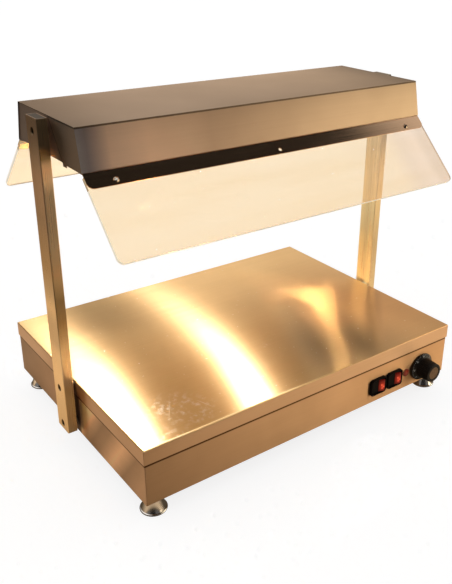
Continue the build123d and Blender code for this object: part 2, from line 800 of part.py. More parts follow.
# Each post screw: height, face that its spacer meets, face that its nut meets
post_stations = [
    (low_screw_z, case_length / 2, case_length / 2 - sheet),
    (lid_screw_z, base_length / 2, case_length / 2 - sheet),
    (hood_screw_z, hood_length / 2 - sheet, hood_length / 2 - 2 * sheet),
]
with BuildPart() as post_spacers:
    for sign in sides.values():
        for height, outer_face, nut_face in post_stations:
            with BuildSketch(Plane.YZ.offset(sign * outer_face)):
                with Locations((0, height)):
                    Circle(spacer_radius)
                    Circle(post_hole_radius, mode=Mode.SUBTRACT)
            extrude(amount=sign * (post_inner - outer_face))
post_spacers.part.label = "post_spacers"
export_step(post_spacers.part, "parts/post_spacers.step")

with BuildPart() as post_screws:
    for sign in sides.values():
        for height, outer_face, nut_face in post_stations:
            head_seat = post_inner + post_wall
            screw_end = nut_face - post_nut_height - post_screw_spare
            with BuildSketch(Plane.YZ.offset(sign * head_seat)):
                with Locations((0, height)):
                    Circle(post_screw_head_radius)
            extrude(amount=sign * post_screw_head)
            with BuildSketch(Plane.YZ.offset(sign * screw_end)):
                with Locations((0, height)):
                    Circle(post_screw_radius)
            extrude(amount=sign * (head_seat - screw_end))
post_screws.part.label = "post_screws"
export_step(post_screws.part, "parts/post_screws.step")

with BuildPart() as post_nuts:
    for sign in sides.values():
        for height, outer_face, nut_face in post_stations:
            with BuildSketch(Plane.YZ.offset(sign * nut_face)):
                with Locations((0, height)):
                    RegularPolygon(post_nut_flats / 2, 6, major_radius=False)
                    Circle(post_screw_radius + thread_clearance, mode=Mode.SUBTRACT)
            extrude(amount=-sign * post_nut_height)
post_nuts.part.label = "post_nuts"
export_step(post_nuts.part, "parts/post_nuts.step")

# Hood: one sheet folded to a channel with turned-in lips, and a flap round each front corner
hood_outline = [
    (hood_lip - hood_bottom_depth / 2, hood_bottom),
    (-hood_bottom_depth / 2, hood_bottom),
    (-hood_top_depth / 2, hood_top),
    (hood_top_depth / 2, hood_top),
    (hood_bottom_depth / 2, hood_bottom),
    (hood_bottom_depth / 2 - hood_lip, hood_bottom),
]
rivet_y = (hood_bottom_depth - strip_seat) / 2
with BuildPart() as hood_cover:
    with BuildSketch(Plane.YZ.offset(-hood_length / 2)):
        with BuildLine():
            FilletPolyline(*hood_outline, radius=bend_radius)
            offset(amount=sheet, side=Side.RIGHT)
        make_face()
    extrude(amount=hood_length)
    for sign in sides.values():
        with BuildSketch(Plane.YZ.offset(sign * hood_length / 2)):
            with BuildLine():
                edge = FilletPolyline(*hood_outline, radius=bend_radius)
                Line(edge @ 1, edge @ 0)
            make_face()
            with BuildLine(mode=Mode.PRIVATE) as seam:
                Polyline(
                    (-hood_bottom_depth, hood_bottom),
                    (-hood_bottom_depth, hood_top),
                    (-seam_top, hood_top),
                    (-seam_bottom, hood_bottom),
                    close=True,
                )
            make_face(seam.edges(), mode=Mode.INTERSECT)
            with Locations((-seam_bottom - seam_tab / 2, hood_bottom)):
                Rectangle(seam_tab, 2 * seam_tab_drop)
        extrude(amount=-sign * sheet)
    with BuildSketch(Plane.XY.offset(hood_bottom)):
        with GridLocations(rivet_pitch, 2 * rivet_y, rivet_count, 2):
            Circle(rivet_radius + rivet_clearance)
    extrude(amount=sheet, mode=Mode.SUBTRACT)
hood_cover.part.label = "hood_cover"
export_step(hood_cover.part, "parts/hood_cover.step")

hood_corners = hood_outline[1:5]
for side, sign in sides.items():
    with BuildPart() as hood_end:
        with BuildSketch(Plane.YZ.offset(sign * (hood_length / 2 - sheet))) as end_outline:
            with BuildLine():
                Polyline(*hood_corners, close=True)
            make_face()
            offset(amount=-sheet - panel_clearance, kind=Kind.INTERSECTION, mode=Mode.REPLACE)
            fillet(end_outline.vertices(), bend_radius)
            with Locations((0, hood_screw_z)):
                Circle(post_hole_radius, mode=Mode.SUBTRACT)
        extrude(amount=-sign * sheet)
    hood_end.part.label = f"hood_end_{side}"
    export_step(hood_end.part, f"parts/hood_end_{side}.step")

# Reflector: a folded trough hung under the hood's top
reflector_length = hood_length - 2 * reflector_end
hood_ceiling = hood_top - sheet
reflector_floor = hood_ceiling - reflector_depth
with BuildPart() as lamp_reflector:
    with BuildSketch(Plane.YZ.offset(-reflector_length / 2)):
        with BuildLine():
            FilletPolyline(
                (-reflector_mouth / 2, reflector_floor),
                (-reflector_top / 2, hood_ceiling),
                (reflector_top / 2, hood_ceiling),
                (reflector_mouth / 2, reflector_floor),
                radius=bend_radius,
            )
            offset(amount=reflector_sheet, side=Side.RIGHT)
        make_face()
    extrude(amount=reflector_length)
lamp_reflector.part.label = "lamp_reflector"
export_step(lamp_reflector.part, "parts/lamp_reflector.step")

# Heat lamps: quartz tubes with pinched ends and ceramic caps, held end to end in sockets
lamp_z = hood_top - lamp_drop
lamp_half = lamp_length / 2
pinch_at = lamp_half - lamp_cap_length
shoulder_at = pinch_at - lamp_pinch_length
tube_at = shoulder_at - lamp_shoulder
for side, sign in sides.items():
    lamp_x = sign * lamp_pitch / 2
    with BuildPart() as quartz_lamp:
        with BuildSketch(Plane((lamp_x, 0, lamp_z), x_dir=(1, 0, 0), z_dir=(0, -1, 0))):
            with BuildLine() as lamp_profile:
                Polyline(
                    (0, lamp_radius),
                    (tube_at, lamp_radius),
                    (shoulder_at, lamp_pinch_radius),
                    (pinch_at, lamp_pinch_radius),
                    (pinch_at, lamp_cap_radius),
                    (lamp_half, lamp_cap_radius),
                    (lamp_half, 0),
                )
                mirror(lamp_profile.edges(), about=Plane.YZ)
                Line((-lamp_half, 0), (lamp_half, 0))
            make_face()
        revolve(axis=Axis((lamp_x, 0, lamp_z), (1, 0, 0)))
    quartz_lamp.part.label = f"quartz_lamp_{side}"
    export_step(quartz_lamp.part, f"parts/quartz_lamp_{side}.step")

holder_face = lamp_half - socket_depth
holder_stations = [
    (lamp_sign * lamp_pitch / 2 + end * holder_face, end) for lamp_sign in (-1, 1) for end in (-1, 1)
]
with BuildPart() as lamp_holders:
    for face_x, end in holder_stations:
        with BuildSketch(Plane.YZ.offset(face_x)):
            with Locations((0, lamp_z)):
                RectangleRounded(holder_width, holder_height, bend_radius)
        extrude(amount=end * holder_thick)
        with BuildSketch(Plane.YZ.offset(face_x)):
            with Locations((0, lamp_z)):
                Circle(lamp_cap_radius + socket_clearance)
        extrude(amount=end * socket_depth, mode=Mode.SUBTRACT)
lamp_holders.part.label = "lamp_holders"
export_step(lamp_holders.part, "parts/lamp_holders.step")

bracket_top = hood_ceiling - reflector_sheet
bracket_drop = bracket_top - (lamp_z - holder_height / 2)
with BuildPart() as lamp_brackets:
    for face_x, end in holder_stations:
        plate_x = face_x + end * holder_thick
        with BuildSketch(Plane.YZ.offset(plate_x)):
            with Locations((0, bracket_top - bracket_drop / 2)):
                Rectangle(bracket_width, bracket_drop)
        extrude(amount=end * bracket_sheet)
        with BuildSketch(Plane.YZ.offset(plate_x)):
            with Locations((0, bracket_top - bracket_sheet / 2)):
                Rectangle(bracket_width, bracket_sheet)
        extrude(amount=end * bracket_foot)
lamp_brackets.part.label = "lamp_brackets"
export_step(lamp_brackets.part, "parts/lamp_brackets.step")

# Guards: a bracket folded out from under each hood lip, with a glass plate screwed to its back
guard_lean = radians(guard_angle)
guard_planes = {}
for face, out in {"front": -1, "rear": 1}.items():
    # Local x runs along the guard and local y up its slope; z points out of its upper face
    guard_planes[face] = Plane(
        (0, out * hood_bottom_depth / 2, hood_bottom),
        x_dir=(-out, 0, 0),
        z_dir=(0, out * cos(guard_lean), sin(guard_lean)),
    )
    with BuildPart() as guard_bracket:
        with BuildSketch(guard_planes[face]) as strip_outline:
            with Locations((0, -strip_width / 2)):
                Rectangle(guard_length, strip_width)
            fillet(strip_outline.vertices().group_by(Axis.Y)[0], strip_corner)
            with Locations((0, -guard_hole_drop)):
                Circle(guard_hole_radius, mode=Mode.SUBTRACT)
                with GridLocations(guard_screw_pitch, 0, 2, 1):
                    Circle(guard_hole_radius, mode=Mode.SUBTRACT)
        extrude(amount=-strip_sheet)
        with BuildSketch(Plane.XY.offset(hood_bottom)):
            with Locations((0, out * (hood_bottom_depth - strip_seat) / 2)):
                Rectangle(guard_length, strip_seat)
            with Locations((0, out * rivet_y)):
                with GridLocations(rivet_pitch, 0, rivet_count, 1):
                    Circle(rivet_radius + rivet_clearance, mode=Mode.SUBTRACT)
        extrude(amount=-strip_sheet)
    guard_bracket.part.label = f"guard_bracket_{face}"
    export_step(guard_bracket.part, f"parts/guard_bracket_{face}.step")

    with BuildPart() as guard_glass:
        with BuildSketch(guard_planes[face].offset(-strip_sheet)) as glass_outline:
            with Locations((0, -(glass_start + guard_reach) / 2)):
                Rectangle(guard_length, guard_reach - glass_start)
            fillet(glass_outline.vertices().group_by(Axis.Y)[0], guard_corner)
            with Locations((0, -guard_hole_drop)):
                with GridLocations(guard_screw_pitch, 0, 2, 1):
                    Circle(guard_hole_radius, mode=Mode.SUBTRACT)
        extrude(amount=-glass_thick)
    guard_glass.part.label = f"guard_glass_{face}"
    export_step(guard_glass.part, f"parts/guard_glass_{face}.step")

clamp_depth = strip_sheet + glass_thick
with BuildPart() as guard_screws:
    for plane in guard_planes.values():
        with BuildSketch(plane):
            with Locations((0, -guard_hole_drop)):
                with GridLocations(guard_screw_pitch, 0, 2, 1):
                    Circle(guard_screw_head_radius)
        extrude(amount=guard_screw_head)
        with BuildSketch(plane):
            with Locations((0, -guard_hole_drop)):
                with GridLocations(guard_screw_pitch, 0, 2, 1):
                    Circle(guard_screw_radius)
        extrude(amount=-(clamp_depth + guard_nut_height + guard_screw_spare))
guard_screws.part.label = "guard_screws"
export_step(guard_screws.part, "parts/guard_screws.step")

with BuildPart() as guard_nuts:
    for plane in guard_planes.values():
        with BuildSketch(plane.offset(-clamp_depth)):
            with Locations((0, -guard_hole_drop)):
                with GridLocations(guard_screw_pitch, 0, 2, 1):
                    RegularPolygon(guard_nut_flats / 2, 6, major_radius=False)
                    Circle(guard_screw_radius + thread_clearance, mode=Mode.SUBTRACT)
        extrude(amount=-guard_nut_height)
guard_nuts.part.label = "guard_nuts"
export_step(guard_nuts.part, "parts/guard_nuts.step")

# Rivets join each bracket's seat to the hood lip above it
with BuildPart() as bracket_rivets:
    with BuildSketch(Plane.XY.offset(hood_bottom - strip_sheet)):
        with GridLocations(rivet_pitch, 2 * rivet_y, rivet_count, 2):
            Circle(rivet_radius)
    extrude(amount=strip_sheet + sheet)
    for level, grow in ((hood_bottom - strip_sheet, -rivet_head), (hood_bottom + sheet, rivet_head)):
        with BuildSketch(Plane.XY.offset(level)):
            with GridLocations(rivet_pitch, 2 * rivet_y, rivet_count, 2):
                Circle(rivet_head_radius)
        extrude(amount=grow)
bracket_rivets.part.label = "bracket_rivets"
export_step(bracket_rivets.part, "parts/bracket_rivets.step")
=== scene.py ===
# %% [markdown]
# # A food warmer with a gantry
# The CAD model already gives every solid of this counter-top warmer its place, size and joint. Here it
# only gets its looks: brushed steel, glass, chrome, plastic, lit switches, and the small turned and
# printed pieces that are too fine for the solids. We keep the model's box.

# %% Load the imported model
import bpy
import numpy as np
from mathutils import Matrix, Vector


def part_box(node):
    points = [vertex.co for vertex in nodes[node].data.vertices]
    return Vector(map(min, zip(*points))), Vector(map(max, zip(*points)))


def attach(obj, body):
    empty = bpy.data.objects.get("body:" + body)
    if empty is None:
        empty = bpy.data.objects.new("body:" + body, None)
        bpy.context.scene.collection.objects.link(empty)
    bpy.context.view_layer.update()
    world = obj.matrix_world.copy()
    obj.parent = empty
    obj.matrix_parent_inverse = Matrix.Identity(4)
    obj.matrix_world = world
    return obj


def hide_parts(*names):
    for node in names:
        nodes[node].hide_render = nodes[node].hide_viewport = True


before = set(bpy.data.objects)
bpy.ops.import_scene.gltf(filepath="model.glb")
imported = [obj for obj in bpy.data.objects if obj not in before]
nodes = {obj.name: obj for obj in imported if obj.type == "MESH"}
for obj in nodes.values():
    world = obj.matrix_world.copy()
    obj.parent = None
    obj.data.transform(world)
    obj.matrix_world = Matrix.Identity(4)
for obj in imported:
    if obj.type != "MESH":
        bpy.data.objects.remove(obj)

for startup in ("Cube", "Camera", "Light"):
    if startup in bpy.data.objects:
        bpy.data.objects.remove(bpy.data.objects[startup])
scene = bpy.context.scene
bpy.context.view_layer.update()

# %% [markdown]
# ## Formulas out of nodes
# Every finish is a small node tree that ends in one Principled shader. In code, the links of such a tree
# hide what is meant. So a node's output becomes a Wire, and a formula with wires adds the nodes that it
# needs: Vector Math for colours, places and directions, plain Math for numbers.

# %% Wires
def operator(kind):
    """A method that puts a Math node of that kind after a wire."""
    return lambda self, *others: formula(kind, self, *others)


class Wire:
    """One output of a node; a formula with it adds the Math nodes that the formula needs."""
    __add__ = operator("ADD")
    __sub__ = operator("SUBTRACT")
    __mul__ = operator("MULTIPLY")
    __truediv__ = operator("DIVIDE")
    __lt__ = operator("LESS_THAN")
    __gt__ = operator("GREATER_THAN")
    __abs__ = operator("ABSOLUTE")

    def __init__(self, tree, socket):
        self.tree = tree
        self.socket = socket

    def __rsub__(self, other):
        return formula("SUBTRACT", other, self)


def formula(kind, *values, out=0):
    """A Math node on numbers, or a Vector Math node if a value is a colour, place or direction."""
    wires = [value for value in values if isinstance(value, Wire)]
    wide = any(map(np.ndim, values)) or any(wire.socket.type in ("RGBA", "VECTOR") for wire in wires)
    return add(wires[0].tree, "VectorMath" if wide else "Math", enumerate(values), out, operation=kind)


def plug(socket, value):
    """Links a wire to a socket, or sets the socket to a number, colour or place."""
    if isinstance(value, Wire):
        value.tree.links.new(value.socket, socket)
    elif socket.type == "RGBA":
        socket.default_value = (*value, 1)
    elif socket.type == "VECTOR":
        socket.default_value = tuple(np.broadcast_to(value, 3))
    else:
        socket.default_value = value


def add(tree, kind, plugs=(), out=0, **settings):
    """Adds one node with its settings, plugs its (socket, value) pairs and gives one of its outputs."""
    node = tree.nodes.new("ShaderNode" + kind)
    for key, value in settings.items():
        setattr(node, key, value)
    for socket, value in plugs:
        plug(node.inputs[socket], value)
    return Wire(tree, node.outputs[out])


# %% [markdown]
# ## Nodes in plain words
# A few nodes do nearly all the work, so they get plain names. Patterns read Object coordinates: every
# solid sits at the origin, so these are metres in the warmer's own frame. A material starts as one
# Principled shader, and the solids wear it in the slots that they already have, so their meshes stay
# untouched.

# %% Node helpers
def place(tree):
    """The place of the point being shaded, in metres."""
    return add(tree, "TexCoord", out="Object")


def facing(tree):
    """The direction that the surface looks in."""
    return add(tree, "NewGeometry", out="Normal")


def parts(vector):
    """The x, y and z of a place or direction."""
    split = add(vector.tree, "SeparateXYZ", [(0, vector)]).socket.node
    return [Wire(vector.tree, out) for out in split.outputs]


def higher(one, two):
    """The larger of two values."""
    return formula("MAXIMUM", one, two)


def size_of(vector):
    """The length of a vector."""
    return formula("LENGTH", vector, out="Value")


def along(vector, direction):
    """How far a place lies along a direction."""
    return formula("DOT_PRODUCT", vector, direction, out="Value")


def faded(value, start, stop, first=0.0, last=1.0, soft=False):
    """Goes from first, where the value is start, to last, where it is stop, and stays there beyond."""
    limits = enumerate((value, start, stop, first, last))
    return add(value.tree, "MapRange", limits, interpolation_type="SMOOTHSTEP" if soft else "LINEAR")


def mixed(share, one, two):
    """A colour that goes from one to two as the share goes from 0 to 1."""
    return add(share.tree, "Mix", [(0, share), (6, one), (7, two)], out=2, data_type="RGBA")


def ramp(value, stops):
    """A colour ramp through (value, colour) stops; a colour may be one grey number."""
    wire = add(value.tree, "ValToRGB", [(0, value)], out="Color")
    band = wire.socket.node.color_ramp.elements
    while len(band) < len(stops):
        band.new(0.5)
    for element, (at, colour) in zip(band, stops):
        element.position = at
        element.color = (*np.broadcast_to(colour, 3), 1)
    return wire


def between(value, deep, pale):
    """A colour from deep to pale over the middle of a noise, where most of its values lie."""
    return ramp(value, [(0.3, deep), (0.7, pale)])


def noise(where, waves, detail=2.0, rough=0.5):
    """Smooth noise, 0 to 1, with so many waves in each unit of the place."""
    plugs = [("Vector", where), ("Scale", waves), ("Detail", detail), ("Roughness", rough)]
    return add(where.tree, "TexNoise", plugs, out="Fac")


def bumped(height, strength, depth):
    """A normal tilted by a height pattern; depth is its size in metres."""
    return add(height.tree, "Bump", [("Strength", strength), ("Distance", depth), ("Height", height)])


# %% Finishes
finishes = {}


def start_finish(name, solids=()):
    """A new material, only a Principled shader so far, in the slots of the named solids."""
    finish = bpy.data.materials.new(name)
    finish.use_nodes = True
    tree = finish.node_tree
    tree.nodes.clear()
    skin = tree.nodes.new("ShaderNodeBsdfPrincipled")
    end = tree.nodes.new("ShaderNodeOutputMaterial")
    tree.links.new(skin.outputs["BSDF"], end.inputs["Surface"])
    finishes[name] = finish
    for solid in solids:
        for slot in nodes[solid].material_slots:
            slot.material = finish
    print(name, "on", ", ".join(solids) or "no solid")
    return tree, skin


def coat(skin, values):
    """Plugs values into the shader by the names of its sockets."""
    for name, value in values.items():
        plug(skin.inputs[name], value)


def plugged(tree, skin, name):
    """The wire that already leads into one of the shader's sockets."""
    return Wire(tree, skin.inputs[name].links[0].from_socket)


# %% [markdown]
# ## Brushed steel
# The casing, plate, hood and posts are stainless sheet rubbed with an abrasive belt. Each scratch is tiny
# but as long as the sheet, so light spreads widely across the scratches and hardly along them: that is
# why one lamp draws a long streak across the plate. We give the shader a strong anisotropy, whose
# direction comes from the normal, and a noise stretched along the grain. Under the glow of its own lamps
# the steel looks like straw and bronze, so that warm cast of the lamp light is painted into its colour.

# %% Brushed steel
sheet_along, sheet_across = 5, 420      # waves of the grain in a metre
post_along, post_across = 6, 900
cloud_waves, scratch_depth = 6.0, 0.0004


def grain_of(tree, run):
    """Scratches, as noise with few waves along the grain and many across it, and the way across them.
    A sheet's grain runs along x, but along y on its end walls; a post's runs along z."""
    here = place(tree)
    normal = facing(tree)
    x, _, z = parts(normal)
    if run == "post":
        on_top = add(tree, "CombineXYZ", [("X", abs(z))])
        across = formula("CROSS_PRODUCT", normal, (0, 0, 1)) + on_top
        return noise(here * (post_across, post_across, post_along), 1, 3, 0.6), across
    along_x = noise(here * (sheet_along, sheet_across, sheet_across), 1, 4, 0.65)
    along_y = noise(here * (sheet_across, sheet_along, sheet_across), 1, 4, 0.65)
    across = add(tree, "CombineXYZ", [("Y", abs(z)), ("Z", 1.0 - abs(z))])
    return along_x + (along_y - along_x) * abs(x), across


def brushed_steel(name, solids, deep, pale, rough=0.42, run="sheet", streak=1.0, metal=0.92, scratch=1.0):
    """Brushed sheet between two colours: clouds of tint, fine scratches, anisotropic gloss."""
    tree, skin = start_finish(name, solids)
    grain, across = grain_of(tree, run)
    cloud = noise(place(tree), cloud_waves, 3, 0.55)
    share = 0.45 * scratch
    colour = between(grain * share + cloud * (1 - share), deep, pale)
    dull = grain * (0.16 * scratch) + (rough - 0.08 * scratch)
    coat(skin, {"Base Color": colour, "Roughness": dull, "Tangent": across, "Metallic": metal,
                "Anisotropic": streak, "Normal": bumped(grain, 0.06 * scratch, scratch_depth)})
    return tree, skin, colour


# %% [markdown]
# ## The posts
# The left post is painted in bands of light and shade by height: pale beside the plate, darker at grip
# height, dark under the hood, for its reflections and the hood's shadow. The bands only follow the height,
# so ramps do what would otherwise need a painted image. The right post's inner face looks straight at the
# lamps, so it is painted as the palest steel of all, a little paler at its two edges; its other faces are
# painted browner, as in shade.

# %% Left post
# Painted light and shade: tones by height that stand for reflections and the hood's shadow.
front_painted_light = [(0.05, 1.0), (0.115, 0.88), (0.14, (0.98, 1.05, 1.3)), (0.18, (0.98, 1.12, 1.38)),
               (0.225, 0.58), (0.26, 0.58), (0.29, 1.2), (0.34, (1.9, 1.55, 1.85)),
               (0.42, (1.8, 1.5, 1.85)), (0.456, (1.2, 1.2, 1.4)), (0.466, 0.42), (0.488, 0.85)]
side_painted_light = [(0.09, 1.08), (0.13, 1.33), (0.172, 1.25), (0.19, 0.97), (0.221, 1.0), (0.245, 1.33),
              (0.268, 0.98), (0.31, (0.78, 0.7, 0.56)), (0.38, (0.76, 0.7, 0.72)),
              (0.45, (1.4, 1.27, 1.45))]
tree, skin, colour = brushed_steel(
    "post_steel", ["post_left"], (0.7, 0.48, 0.25), (0.8, 0.57, 0.31),
    rough=0.28, run="post", scratch=0.3)
height = parts(place(tree))[2]
to_front = abs(parts(facing(tree))[1]) > 0.5
coat(skin, {"Base Color": colour * mixed(to_front, ramp(height, side_painted_light), ramp(height, front_painted_light))})

# %% Right post
# Painted light: the inner face is painted as lit by the lamps, the front and outer faces darker, in shade.
outer_painted_shade, front_painted_shade = (0.86, 0.7, 0.58), (1.0, 0.93, 0.9)
inner_painted_light = [(0.1, (0.95, 1.0, 0.98)), (0.2, (0.98, 1.0, 0.98)), (0.34, (1.0, 0.96, 0.92))]
tree, skin, colour = brushed_steel(
    "lit_post_steel", ["post_right"], (0.8, 0.7, 0.45), (0.94, 0.86, 0.57),
    rough=0.28, run="post", metal=0.96, scratch=0.45)
_, y, z = parts(place(tree))
to_right = parts(facing(tree))[0]
inner_light_tint = ramp(z, inner_painted_light) * faded(abs(y), 0.002, 0.015, 0.94, 1.14)
tint = mixed(to_right < -0.5, mixed(to_right > 0.5, front_painted_shade, outer_painted_shade), inner_light_tint)
coat(skin, {"Base Color": colour * tint})

# %% [markdown]
# ## Caps and guard brackets
# The post caps are darker pressings. The guard brackets are polished, so they mirror the room more
# sharply. Faces that look inwards at the lamps, where the normal and the place point opposite ways in y,
# are painted brighter with the lamps' light; the rest keep the plain brown colour.

# %% Caps and brackets
white, painted_lamp_light = (1, 1, 1), (1.6, 2.6, 3.6)
brushed_steel("cap_steel", ["post_caps"], (0.24, 0.17, 0.1), (0.3, 0.215, 0.135), rough=0.35, run="post")
tree, skin, colour = brushed_steel(
    "strip_steel", ["guard_bracket_front", "guard_bracket_rear"],
    (0.58, 0.36, 0.21), (0.68, 0.43, 0.26), rough=0.11, streak=0.6, metal=1.0)
# Painted light: faces towards the lamps are painted brighter.
inwards = parts(facing(tree))[1] * parts(place(tree))[1] < 0.0
coat(skin, {"Base Color": colour * mixed(inwards, white, painted_lamp_light)})

# %% [markdown]
# ## The toned plate
# The plate is painted with light and shade for its reflections: paler along the back, darker in slanting
# patches in front and to the right. Each tone is a soft patch: the distance from its centre, with each
# axis divided by its own reach. A patch leans when its place is sheared first.

# %% Plate steel
casing_low, casing_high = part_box("base_casing")
plate_low, plate_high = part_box("hot_plate")
left, front = casing_low[0], casing_low[1]


def patch(where, centre, reach):
    """A soft patch: 1 at its centre, 0 from its reach outwards; two numbers leave the height out."""
    spare = [0.0] * (3 - len(reach))
    away = (where - [*centre, *spare]) * [*(1 / far for far in reach), *spare]
    return faded(size_of(away), 0.0, 1.0, 1.0, 0.0, soft=True)


def slanted(where, lean):
    """The place with x moved aside by so much of y."""
    x, y, _ = parts(where)
    return add(where.tree, "CombineXYZ", [("X", x - y * lean), ("Y", y)])


def behind_post(tree):
    """1 on the left end just behind the post, where no light gets in, fading out beside it."""
    x, y, _ = parts(place(tree))
    return (x < left + 0.001) * faded(abs(y), 0.011, 0.0195, 1.0, 0.0, soft=True)


tree, skin, colour = brushed_steel(
    "plate_steel", ["hot_plate"], (0.6, 0.36, 0.15), (0.7, 0.44, 0.195),
    rough=0.31, metal=1.0, scratch=0.7)
here = place(tree)
wall = abs(parts(facing(tree))[2]) < 0.5
level = 1.0 - wall
# Painted reflections: a paler back and darker slanting patches.
painted_light_back = patch(here, (0.2, 0.24), (0.42, 0.26))
painted_shade = patch(here, (0.12, -0.19), (0.13, 0.17))
for lean, centre, reach, share in ((0.94, (0.328, -0.1), (0.032, 0.12), 0.7),
                                   (0.4, (0.12, -0.14), (0.075, 0.22), 0.85),
                                   (0.4, (0.205, -0.16), (0.045, 0.12), 0.6),
                                   (0.0, (-0.17, 0.15), (0.12, 0.12), 0.45)):
    painted_shade = painted_shade + patch(slanted(here, lean), centre, reach) * share
painted_tone = ((painted_light_back * 0.36 - painted_shade * 0.45) * level + 1.0) * (1.0 - behind_post(tree) * 0.75)
# Darker and browner towards the right front.
darker_right = level * patch(here, (0.26, -0.1), (0.3, 0.3))
rim_tint, darkening_tint = (0.93, 0.96, 1.36), (0.98, 0.8, 0.7)
colour = colour * painted_tone * mixed(wall, white, rim_tint) * mixed(darker_right, white, darkening_tint)

# %% [markdown]
# ## Scuffs, specks and the painted fold highlight
# Near the front left are pale scuffs and two long scratches, a few specks lie all over, and the front
# fold gets a painted highlight, brightest at the left. Scuffs and specks are noise with all but its highest
# peaks cut off, a long scratch is a very thin leaning patch, and the fold is found by its place.

# %% Plate marks
fold_wide, fold_deep, fold_highlight_colour = 0.0024, 0.0016, (1.0, 0.76, 0.4)
scuff_colour, scuff_rough = (0.95, 0.86, 0.7), 0.75


def peaks(waves, start, full):
    """Only the highest peaks of a noise on the plate: 0 up to start, 1 from full."""
    return faded(noise(here, waves, 3, 0.6), start, full)


scuffed = patch(here, (-0.215, -0.165), (0.06, 0.065))
for centre, reach in (((-0.2, -0.142), (0.02, 0.018)), ((-0.231, -0.138), (0.018, 0.022)),
                      ((-0.18, -0.172), (0.03, 0.028)), ((-0.195, -0.198), (0.024, 0.018)),
                      ((-0.249, -0.21), (0.03, 0.016)), ((-0.003, -0.09), (0.012, 0.01))):
    scuffed = scuffed * 0.9 + patch(here, centre, reach)
scuffs = higher(peaks(115, 0.52, 0.76), peaks(75, 0.58, 0.72)) * formula("MINIMUM", scuffed, 0.5)
for lean, centre, reach, share in ((0.594, (-0.1303, -0.155), (0.0011, 0.034), 0.4),
                                   (-0.367, (-0.2384, -0.174), (0.0014, 0.02), 0.5)):
    scuffs = higher(scuffs, patch(slanted(here, lean), centre, reach) * share)
marks = level * higher(scuffs, peaks(150, 0.69, 0.75))
x, y, z = parts(here)
# Painted highlight along the front fold, fading out to the right.
fold_highlight = (y < plate_low[1] + fold_wide) * (z > plate_high[2] - fold_deep) * faded(x, -0.06, 0.05, 0.85, 0.0)
dull = plugged(tree, skin, "Roughness")
coat(skin, {"Base Color": mixed(marks, mixed(fold_highlight, colour, fold_highlight_colour), scuff_colour),
            "Roughness": dull + (scuff_rough - dull) * higher(marks, fold_highlight)})
print("plate of", len(tree.nodes), "nodes")

# %% [markdown]
# ## The folded hood
# The hood is one sheet folded along its two long edges, and each fold is painted with a thin dark line of
# shade. Painted reflections tint the slopes bluish at the left end, painted shade darkens them under the
# fold, and painted light makes the top paler towards the back. Ramps along, across and down the sheet
# give these tones. A flap is folded round each front corner, and its edge is a dark slanting line.

# %% Hood steel
# Painted reflections and shade on the slopes and the top.
slope_painted_light = [(0.0, (0.84, 1.04, 1.6)), (0.02, (0.68, 0.8, 1.2)), (0.045, (1.16, 1.16, 1.48)),
               (0.07, (1.72, 1.68, 1.88)), (0.16, (1.68, 1.58, 1.68)), (0.32, (1.0, 0.96, 1.0)),
               (0.6, 1.04), (1.0, (1.1, 1.12, 1.08))]
top_painted_light = [(0.0, 0.92), (0.12, 1.04), (0.4, 0.92), (0.78, 0.92), (0.92, 0.76), (1.0, 0.54)]
under_fold_painted_shade = [(0.03, 0.74), (0.35, 0.88), (0.85, 1.0)]
flap_lean, flap_start, shade_and_seam_colour = 0.678, -0.01, (0.05, 0.03, 0.02)
hood_low, hood_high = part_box("hood_cover")
tree, skin, colour = brushed_steel(
    "hood_steel", ["hood_cover"], (0.46, 0.315, 0.205), (0.56, 0.39, 0.26),
    scratch=0.5)
x, y, z = parts(place(tree))
share = faded(x, hood_low[0], hood_high[0])
drop = hood_high[2] - z
flaps = abs(parts(facing(tree))[0]) > 0.5
slopes = drop - flaps > 0.0015
slope_light_tint = ramp(share, slope_painted_light) * ramp(drop / (hood_high[2] - hood_low[2]), under_fold_painted_shade)
top_light_tint = ramp(share, top_painted_light) * faded(y, hood_low[1], hood_high[1], 0.74, 1.06)
flap_edge = formula("COMPARE", flap_start - y - drop * flap_lean, 0.0008, 0.001) * flaps
# Painted lines of shade along the folds, and the flaps' dark seam edges.
shade_and_seam_lines = higher(formula("COMPARE", drop, 0.0014, 0.0011), flap_edge) * 0.75
coat(skin, {"Base Color": mixed(shade_and_seam_lines, colour * mixed(slopes, top_light_tint, slope_light_tint), shade_and_seam_colour)})
# The hood ends get a darker copy of the steel: painted shade.
brushed_steel("hood_end_shaded_steel", ["hood_end_left", "hood_end_right"], (0.34, 0.24, 0.18), (0.43, 0.305, 0.23),
              scratch=0.5)

# %% [markdown]
# ## The casing and its lid seam
# Grease and a painted shadow gather under the plate's folded rim. A modelled gap of a fifth of a
# millimetre would hardly show, so the steel is painted darker in the last four millimetres below it.
# Painted shadows also lie round the switches and the knob and on the left end, and painted reflections
# make slanting bands on the left end.

# %% Casing steel with its seam line
def middle_of(node):
    """The middle of a node's box."""
    low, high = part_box(node)
    return (np.array(low) + np.array(high)) / 2


def on_wall(node):
    """The middle of a node's box, moved onto the casing's front wall."""
    x, _, z = middle_of(node)
    return x, front, z


left_end_reflection_tones = [(0.02, 1.12), (0.12, 0.95), (0.23, 0.76), (0.31, 1.15), (0.41, 1.65), (0.52, 1.15),
              (0.61, 0.82), (0.725, 0.7), (0.825, 1.1), (0.91, 1.9), (1.0, 2.2)]
band_lean, band_start, band_stop = 0.8, -0.17, 0.03
switch_shadow_reach, knob_shadow_reach = (0.026, 0.01, 0.024), (0.036, 0.01, 0.036)
darkening_tint, grease_and_shadow_colour, seam_z = (0.84, 0.78, 0.7), (0.1, 0.045, 0.015), plate_low[2]
tree, skin, colour = brushed_steel(
    "casing_steel", ["base_casing", "bottom_cover"], (0.54, 0.325, 0.175),
    (0.74, 0.45, 0.255), scratch=0.35)
here = place(tree)
x, y, z = parts(here)
